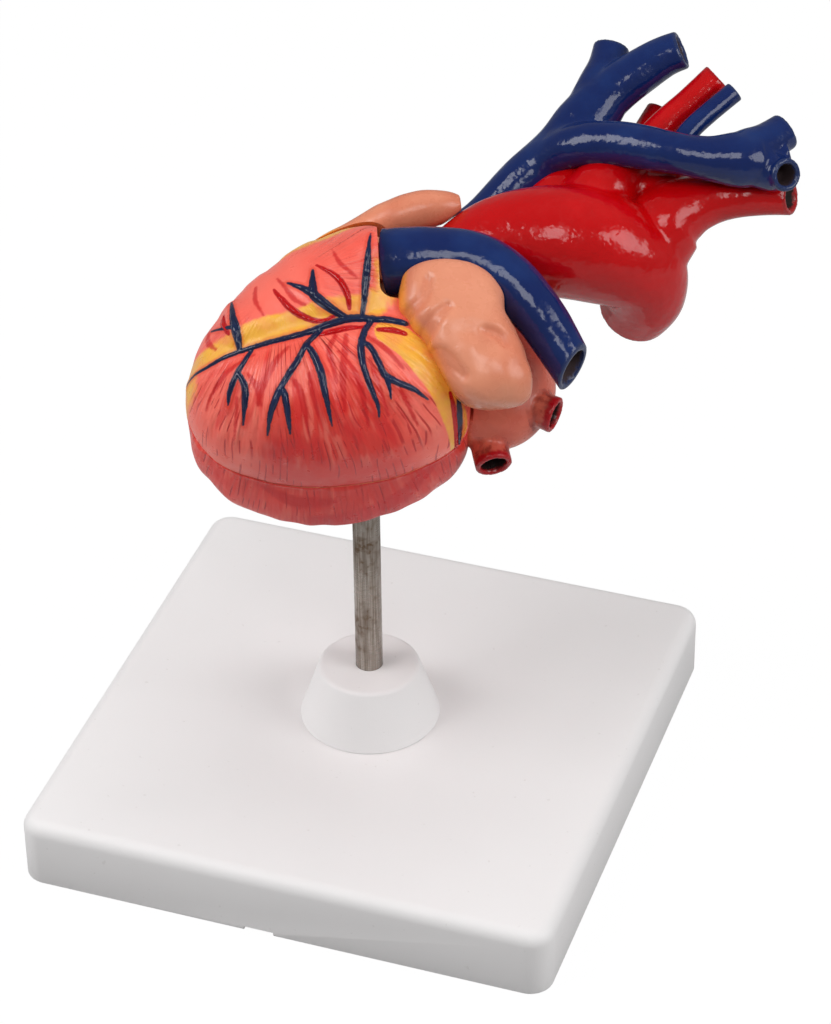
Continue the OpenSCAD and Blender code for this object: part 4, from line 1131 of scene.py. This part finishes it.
# ---- the back half and what it carries
BACK_STROKES = [
    [[-20, -36, 0.4], [-8, -40, 1.0], [6, -40, 1.0], [18, -36, 0.4]],
    [[-30, -25, 0.3], [-22, -32, 0.8], [-12, -36, 0.3]],
    [[10, -34, 0.4], [20, -30, 0.9], [27, -24, 0.3]],
    [[-34, 10, 0.3], [-20, 14, 0.9], [-4, 18, 0.3]],
    [[-30, -8, 0.3], [-16, -12, 0.9], [0, -20, 0.3]],
]


def back_relief(x, y):
    """Height of the back half's carving over its smooth form: swellings and low ridges."""
    q = back_form(x, y)[0]
    return 0.4 * plane_noise(x, y, 8, 54) + 0.35 * plane_noise(fan(x, y, MID), q * 6, 3.6, 53)


def rod_room():
    """Room for the rod's socket: an upright cylinder, turned into the heart's frame."""
    rings = np.array([at_height(circle(64, SOCKET_R), z) for z in (70.0, 122.0)])
    return closed_grid("rod_room", (rings - HEART_AT) @ HEART_AXES)


back_skin = closed_grid("back_skin", dome(-1, 480, 150, back_relief))
cut(back_skin, left_chamber(), right_chamber(), *vessel_room(), *disc_pockets(-1), rod_room())

left_atrium = fused(closed_grid("atrium", lobed((41, -17, -9), (18.5, 20, 15), 0.5, 101)),
                    *[open_tube(end, 44, 8) for end in PULMONARY_ENDS])
p = points(left_atrium)
blend = np.max([near(p, v[0, :3] + 2.0 * unit(v[1, :3] - v[0, :3]), 9.0) for v in PULMONARY_VEINS], axis=0)
back = mouth_field(p, PULMONARY_ENDS)[1]
relaxed(left_atrium, 6)
relaxed(left_atrium, 26, blend * ease(2.0, 4.0, np.minimum(back, 20)), keep_size=False)
cut(left_atrium, back_skin, keep=True)
cut(left_atrium, seam_column(0.0), block((-100, -100, 5), (100, 100, 45)), *vessel_room())
mouthed(left_atrium, PULMONARY_ENDS)
p = points(left_atrium)
attribute(left_atrium, "fat", 0.7 * ease(8, 1, np.linalg.norm(p - [26, -32, -4], axis=1)))
# groove: thin wandering lines where the paint darkens, painted shade standing in for fine creases
attribute(left_atrium, "groove", np.exp(-(noise(p, 9.0, 103) / 0.1) ** 2) * 0.6)

right_atrium = fused(closed_grid("atrium", lobed((21, 22, -15), (25, 17, 13.5), 0.4, 111)),
                     closed_grid("flap", tube(AURICLE, 56, 8, uneven=0.35, seed=113)))
p = points(right_atrium)
relaxed(right_atrium, 8)
join = ease(8, 2, np.abs(p[:, 2] + 2)) * ease(-10, 0, p[:, 0]) * (1 - ease(36, 42, p[:, 0]))
relaxed(right_atrium, 40, join, keep_size=False)
cut(right_atrium, back_skin, left_atrium, keep=True)
cut(right_atrium, seam_column(-SEAM), *vessel_room())
p = points(right_atrium)
attribute(right_atrium, "fat", 1.0 - ease(6, 25, p[:, 0]) + 0.35 * hump(p[:, 0], p[:, 1], 12, 26, 12, 3))
# groove: thin wandering lines where the paint darkens, painted shade standing in for fine creases
attribute(right_atrium, "groove", np.exp(-(noise(p * [0.5, 1, 1], 7.0, 115) / 0.12) ** 2) * 0.5)
mouthed(right_atrium)

low_cava = closed_grid("low_cava", tube(LOW_CAVA, 56, 12, mouth=7, uneven=0.15, seed=121))
cut(low_cava, right_atrium, back_skin, keep=True)
mouthed(low_cava, [LOW_CAVA_END])


def on_back(line):
    """A line of the plane laid on the back half, a fifth thicker than it is given."""
    st = route(line, 3)
    z = back_z(st[:, 0], st[:, 1])
    return np.column_stack([st[:, 0], st[:, 1], z, st[:, 2] * 1.2])


sinus = fused(*[closed_grid("sinus", tube(on_back(line), 20, 3)) for line in (
    [[25, -20, 1.2], [24, -8, 1.6], [21, 3, 1.8], [16, 8, 1.7]],
    [[18, 4, 1.2], [4, 1, 1.1], [-12, 0, 1], [-28, 0, 0.7]])], voxel=FINE)
relaxed(sinus, 6)
mouthed(sinus)

PAPILLAE = [sized(v, 6.5) for v in (
    [[-30, -20, -5, 0.9], [-20, -18, -4.5, 1], [-8, -17, -3.5, 0.6]],
    [[-30, -9, -5, 0.9], [-20, -9.5, -4.5, 1], [-8, -10.5, -3.5, 0.6]],
    [[-19, 17, -5, 0.7], [-10, 17, -4.5, 0.75], [-1, 16.5, -3.5, 0.45]])]
CHORDS = [((-7.7, -17, -3.5), (11.5, -20, -3)), ((-7.7, -17, -3.5), (11.8, -16.5, -5.5)),
          ((-7.7, -10.5, -3.5), (11.5, -8.3, -3)), ((-7.7, -10.5, -3.5), (11.8, -11.5, -5.5)),
          ((-0.8, 16.5, -3.5), (10, 13.5, -3)), ((-0.8, 16.5, -3.5), (10, 20, -3))]
papillae = fused(*[closed_grid("papilla", tube(v, 32, uneven=0.4, seed=131)) for v in PAPILLAE], voxel=0.4)
relaxed(papillae, 6)
cut(papillae, block((-100, -100, -SEAM), (100, 100, 60)))
cut(papillae, back_skin, keep=True)


def cord_between(start, end):
    """Thin strand that flares at both ends."""
    a, b = np.array(start, float), np.array(end, float)
    s = np.linspace(0, 1, 9)[:, None]
    st = a + (b - a) * s
    return np.column_stack([st, 0.34 + 0.28 * (2 * s[:, 0] - 1) ** 6])


chords = fused(*[closed_grid("strand", tube(cord_between(a, b), 12, 2)) for a, b in CHORDS], voxel=0.22)


def half_valve(at, r, h, cusps):
    """Half skirt of thin cusps, open along the seam. Round u, the free edge scallops as
    |cos(cusps u)| and leans in; the section is a thin strip with round ends."""
    u = np.radians(np.linspace(0.0, 180, 91))[:, None]
    s = full_turn(24)[None]
    e = h * (0.62 + 0.38 * np.abs(np.cos(cusps * u)))
    mean = 0.5 + 0.5 * np.sign(np.cos(s)) * np.abs(np.cos(s)) ** 0.6
    belly = 0.5 * np.sin(math.pi * mean) * np.abs(np.sin(cusps * u))
    rad = r - 0.6 - 2.2 * mean * e / h + belly + 0.4 * np.sin(s)
    p = np.stack([rad * np.cos(u), rad * np.sin(u), mean * e], -1)
    return np.stack([at[0] - p[..., 2], at[1] + p[..., 0], at[2] - p[..., 1]], -1)


mitral = closed_grid("mitral", half_valve((20.5, -14, -0.36), 8.5, 9.0, 2))
tricuspid = closed_grid("tricuspid", half_valve((17, 17, -0.36), 5.6, 7.0, 3))

# ---- the great vessels
def softened(obj, forks, rounds):
    """Fillets where branches leave, each given by a centre and how far it reaches."""
    p = points(obj)
    blend = np.max([near(p, centre, reach) for centre, reach in forks], axis=0)
    relaxed(obj, 5)
    return relaxed(obj, rounds, blend, keep_size=False)


arch = fused(open_tube(ARCH_ENDS[0], 72, 12, 7, up=ARCH_UP), closed_grid("fold", tube(ROOT_FOLD, 32, 8)),
             *[open_tube(end, 44) for end in ARCH_ENDS[1:]], voxel=0.55)
softened(arch, (((97, 4, 0), 13), ((87, 19, 4), 12), ((98, 23, 0), 8), ((104, 28, 0), 6)), 50)
trunk = open_tube(TRUNK_END, 72, 14, 7, lip=True)
cut(arch, closed_grid("seat", tube(TRUNK, 72, 14, grow=FIT)),
    rod_cylinder("root", AORTA[0, :3] - [1, 0, 0], AORTA[0, 3] - ROOT_T, 5))
cut(trunk, rod_cylinder("root", TRUNK[0, :3] - TRUNK_AXIS, TRUNK[0, 3] - RIM_T, 5, TRUNK_AXIS))
mouthed(arch, ARCH_ENDS)
mouthed(trunk, [TRUNK_END])

upper_veins = fused(closed_grid("cava", tube(CAVA, 60, 12)),
                    closed_grid("left", tube(LEFT_VEIN, 52, 12)),
                    closed_grid("nub", tube(STUB_E, 32, 8)),
                    *[open_tube(end, 44, 8) for end in VEIN_ENDS], voxel=0.55)
softened(upper_veins, (((82, 38, 1), 14), ((96, 45, 2), 11), ((100, 51, 2), 8), ((88, 36, 6), 10),
                       ((130, 12, 16), 8)), 60)
cut(upper_veins, arch, keep=True)
mouthed(upper_veins, VEIN_ENDS)

thyroid = open_tube(THYROID_END, 40)
cut(thyroid, upper_veins, arch, keep=True)
mouthed(thyroid, [THYROID_END])


def three_cusps(at, r, axis):
    """Three pockets that meet at the middle: the top dips in each and rises to the seams."""
    s = np.linspace(0, 1, 26)[:, None]
    t = full_turn(96)[None]
    seam = np.abs(np.cos(1.5 * t)) ** 0.35
    top = 1.7 - 1.25 * np.sin(math.pi * np.clip(s, 0, 1)) ** 0.8 * seam * (s > 0)
    high = np.stack([r * s * np.cos(t), r * s * np.sin(t), top + 0 * t], -1)[1:]
    low = np.stack([r * np.cos(t), r * np.sin(t), 0 * t], -1)
    p = np.concatenate([high, low])
    a = unit(np.cross(axis, [0.0, 0.0, 1.0]))
    return at + p @ np.array([a, np.cross(axis, a), axis])


ALONG = np.array([1.0, 0.0, 0.0])
aortic_cusps = closed_grid("aortic_cusps", three_cusps(AORTA[0, :3] + 2.2 * ALONG,
                                                       AORTA[0, 3] - ROOT_T - FIT, ALONG))
cut(aortic_cusps, closed_grid("seat", tube(TRUNK, 72, 14, grow=FIT)))
pulmonary_cusps = closed_grid("pulmonary_cusps", three_cusps(TRUNK[0, :3] + 2.2 * TRUNK_AXIS,
                                                             TRUNK[0, 3] - RIM_T - FIT, TRUNK_AXIS))

# ---- the stand, in the row's frame
PLATE, PLATE_H, CORNER, ROLL_EDGE = 160.0, 21.4, 6.9, 4.3
BORE, FOOT_D, TOP_D, BOSS_H = 4.06, 41.4, 30.4, 18.0


def rounded_square(inset):
    """Ring of points on a square with round corners, inset from the plate's sides."""
    r = max(CORNER - inset, 0.3)
    c = PLATE / 2 - inset - r
    t = np.radians(np.linspace(0, 90, 14))
    ring = []
    for n, (sx, sy) in enumerate(((1, 1), (-1, 1), (-1, -1), (1, -1))):
        turn = t + n * math.pi / 2
        ring.append(np.column_stack([sx * c + r * np.cos(turn), sy * c + r * np.sin(turn)]))
    return np.vstack(ring)


def square_solid(profile):
    """Rounded squares at (inset, height) pairs."""
    return np.array([at_height(rounded_square(inset), z) for inset, z in profile])


def turned_solid(profile, around=128):
    """Profile of (radius, height) pairs turned about Z."""
    return np.array([at_height(circle(around, r), z) for r, z in profile])


arc = np.radians(np.linspace(0, 90, 12))
plate_profile = ([(60, 2.1), (2.7, 2.1), (2.6, 2.0), (2.6, 0.25), (2.35, 0.0), (0.45, 0.0), (0.13, 0.13),
                  (0.0, 0.45)]
                 + [(ROLL_EDGE * (1 - math.cos(a)), PLATE_H - ROLL_EDGE * (1 - math.sin(a))) for a in arc]
                 + [(12, PLATE_H), (60, PLATE_H)])
plate = closed_grid("plate", square_solid(plate_profile))
cut(plate, block((-10.5, -81, -1), (-1.5, -78.7, 1.3)),
    closed_grid("bore", turned_solid([(BORE, 5.0), (BORE, 60.0)], 96)))
BOSS_TOP, BOSS_EDGE = PLATE_H + BOSS_H, 1.6
boss_profile = ([(3.0, PLATE_H), (FOOT_D / 2 - 0.3, PLATE_H), (FOOT_D / 2, PLATE_H + 0.25)]
                + [(TOP_D / 2 - BOSS_EDGE * (1 - math.cos(a)), BOSS_TOP - BOSS_EDGE * (1 - math.sin(a)))
                   for a in np.radians(np.linspace(17, 90, 10))]
                + [(8.0, BOSS_TOP), (3.0, BOSS_TOP)])
boss = closed_grid("boss", turned_solid(boss_profile))
cut(boss, closed_grid("bore", turned_solid([(BORE, 3.0), (BORE, 60.0)], 96)))
rod_profile = [(2.0, 5.0), (3.4, 5.0), (3.75, 5.15), (4.0, 5.6), (4.0, 60.0), (4.0, 118.9),
               (3.75, 119.35), (3.4, 119.5), (2.0, 119.5)]
rod = closed_grid("rod", turned_solid(rod_profile, 96))
for piece in (plate, boss, rod):
    set_points(piece, points(piece) * MM)

# ---- names, bodies and finishes
def paint_back(skin):
    """Marks over the back half: hatched below the seam, yellow along its grooves behind, and a
    deeper red towards its low side that is partly painted shade.
    """
    x, y, z = points(skin).T
    q, radius = back_form(x, y, np.minimum(1, 2.4 * (np.abs(z) / BACK_H) ** (SECTION / 2)))
    deep = inside(x, y, z, q, radius, BACK_H, back_z(x, y))
    inner = np.where(z > -SEAM - 0.04, 1.0, ease(1.2, 2.2, deep))
    grooves = 0.8 * np.exp(-((x - 24) / 4.0) ** 2) + 0.5 * np.exp(-(y / 3.0) ** 2) * ease(18, 8, x)
    muscle_marks(skin, fan=fan(x, y, MID), fall=40 * (1 - q) - z, ridge=0.5 * ease(0.2, 0.6, q),
                 hatch=ease(-17, -9, z) * (1 - ease(-1.4, -0.6, z)) + 0.4 * ease(0.5, 0.8, q),
                 # low: deeper red towards the low side, partly painted shade
                 low=0.55 * ease(-20, -38, y), fat=grooves * ease(-15, -24, z), inner=inner,
                 vein=line_distance(x, y, [[[27, -37.5, 0.5], [23, -40.5, 0.8]]]),
                 stroke=line_distance(x, y, BACK_STROKES))


paint_front(front_skin)
paint_back(back_skin)
muscle_marks(papillae, inner=0.8)

HEART_PIECES = [
    (front_skin, "front_wall_casting", "front", "muscle", FRONT_MUSCLE, ["front_wall"]),
    (auricle, "left_auricle_lobe", "front", "atrial", ATRIAL, ["left_auricle"]),
    (veins, "coronary_veins_relief", "front", "venous", CORONARY, ["coronary_veins"]),
    (arteries, "coronary_arteries_relief", "front", "arterial", ARTERIAL, ["coronary_arteries"]),
    (back_skin, "back_half_casting", "heart", "muscle", BACK_MUSCLE, ["back_half"]),
    (left_atrium, "left_atrium_and_veins", "heart", "atrial", ATRIUM, ["left_atrium", "pulmonary_veins"]),
    (right_atrium, "right_atrium_and_auricle", "heart", "atrial", ATRIAL, ["right_atrium", "right_auricle"]),
    (low_cava, "inferior_cava_stub", "heart", "venous", VENOUS, ["inferior_vena_cava"]),
    (sinus, "coronary_sinus_relief", "heart", "venous", VENOUS, ["coronary_sinus"]),
    (papillae, "papillary_muscle_set", "heart", "muscle", BACK_MUSCLE, ["papillary_muscles"]),
    (chords, "chordae_strands", "heart", "valve_ivory", IVORY, ["chordae"]),
    (mitral, "mitral_cusps", "heart", "valve_ivory", IVORY, ["mitral_valve"]),
    (tricuspid, "tricuspid_cusps", "heart", "valve_ivory", IVORY, ["tricuspid_valve"]),
    (arch, "aorta_and_branches", "vessels", "arterial", ARTERIAL, ["aorta", "arch_arteries"]),
    (trunk, "pulmonary_trunk_tube", "vessels", "venous", VENOUS, ["pulmonary_trunk"]),
    (upper_veins, "upper_veins_fork", "vessels", "venous", VENOUS,
     ["superior_vena_cava", "left_brachiocephalic_vein"]),
    (thyroid, "thyroid_vein_tube", "vessels", "venous", VENOUS, ["thyroid_vein"]),
    (aortic_cusps, "aortic_valve_cusps", "vessels", "valve_ivory", IVORY, ["aortic_valve"]),
    (pulmonary_cusps, "pulmonary_valve_cusps", "vessels", "valve_ivory", IVORY, ["pulmonary_valve"]),
]
for obj, name, body, slot, look, nodes in HEART_PIECES:
    dressed(placed(obj, name), body, slot, look, *nodes)
for obj, name, body, slot, look, node in (
        (plate, "base_plate_moulding", "stand", "white_plastic", WHITE, "base_plate"),
        (boss, "rod_boss_turning", "stand", "white_plastic", WHITE, "rod_boss"),
        (rod, "steel_rod", "rod", "rod_steel", STEEL, "rod")):
    dressed(placed(obj, name, world=False), body, slot, look, node)
for node, look in (("base_cover", WHITE), ("rod_socket", GREY), ("magnets_back", PLATED),
                   ("magnets_front", PLATED)):
    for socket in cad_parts[node].material_slots:
        socket.material = look


# ---- studio
def area_light(name, at, to, size, power, gloss=True):
    """Rectangular soft box at a point, turned to face another; a fill leaves no highlight."""
    data = bpy.data.lights.new(name, "AREA")
    data.shape, data.size, data.size_y, data.energy = "RECTANGLE", *size, power
    lamp = bpy.data.objects.new(name, data)
    lamp.visible_glossy = gloss
    COLLECTION.objects.link(lamp)
    z = unit(np.array(at, float) - np.array(to, float))
    x = unit(np.cross([0.0, 0.0, 1.0], z)) if abs(z[2]) < 0.99 else np.array([1.0, 0, 0])
    turn = Matrix([list(r) for r in np.column_stack([x, np.cross(z, x), z])]).to_4x4()
    lamp.matrix_world = Matrix.Translation(at) @ turn


AIM = (0.02, 0.02, 0.12)
area_light("top_fill", (0.2, 0.45, 1.45), AIM, (1.2, 1.2), 7.5, gloss=False)
area_light("right_fill", (1.2, 0.2, 0.45), AIM, (0.7, 0.7), 2.2, gloss=False)
area_light("left_fill", (-1.1, -0.2, 0.5), AIM, (0.7, 0.7), 3.8, gloss=False)
area_light("camera_box", (0.33, -0.88, 1.25), AIM, (0.5, 0.55), 3.6)
area_light("right_box", (0.98, -0.12, 0.72), AIM, (0.6, 0.6), 4.2)
area_light("left_box", (-0.68, -0.57, 1.04), AIM, (0.65, 0.65), 6.5)
GLOSS_SHARE, FLOOR_SHARE = 0.1, 0.94


def seen(look):
    """1 for rays from the camera or through glass, and a share for those that gloss sends
    on, so that metal shows the white room and the dark paints stay deep."""
    camera, gloss, through = (look.node("ShaderNodeLightPath", out=kind)
                              for kind in ("Is Camera Ray", "Is Glossy Ray", "Is Transmission Ray"))
    return camera.most(gloss * GLOSS_SHARE).most(through)


studio = Look("studio", bpy.data.worlds.new("studio"))
bpy.context.scene.world = studio.owner
dim = studio.node("ShaderNodeBackground", None, (1, 1, 1, 1), 0.14)
bright = studio.node("ShaderNodeBackground", None, (1, 1, 1, 1), 1.0)
shown = studio.node("ShaderNodeMixShader", None, seen(studio), dim, bright)
studio.node("ShaderNodeOutputWorld", None, shown)

corners = np.array([(-4, -4, 0), (4, -4, 0), (4, 4, 0), (-4, 4, 0)])
floor = new_object("floor", corners, [np.array([[0, 1, 2, 3]])])
floor_look = Look("studio_floor")
lit = floor_look.node("ShaderNodeBsdfDiffuse", None, paint(180, 180, 180))
glow = floor_look.node("ShaderNodeEmission", None, (1, 1, 1, 1), 1.04)
shown = floor_look.node("ShaderNodeMixShader", None, seen(floor_look) * FLOOR_SHARE, lit, glow)
floor_look.node("ShaderNodeOutputMaterial", None, shown)
floor.data.materials.append(floor_look.owner)
floor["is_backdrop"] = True

bpy.context.scene.view_settings.view_transform = "Standard"
NEW_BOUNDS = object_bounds()
BOXES = {"cad": CAD_BOUNDS, "visual": NEW_BOUNDS}
{name: [list(map(float, corner)) for corner in box] for name, box in BOXES.items()}
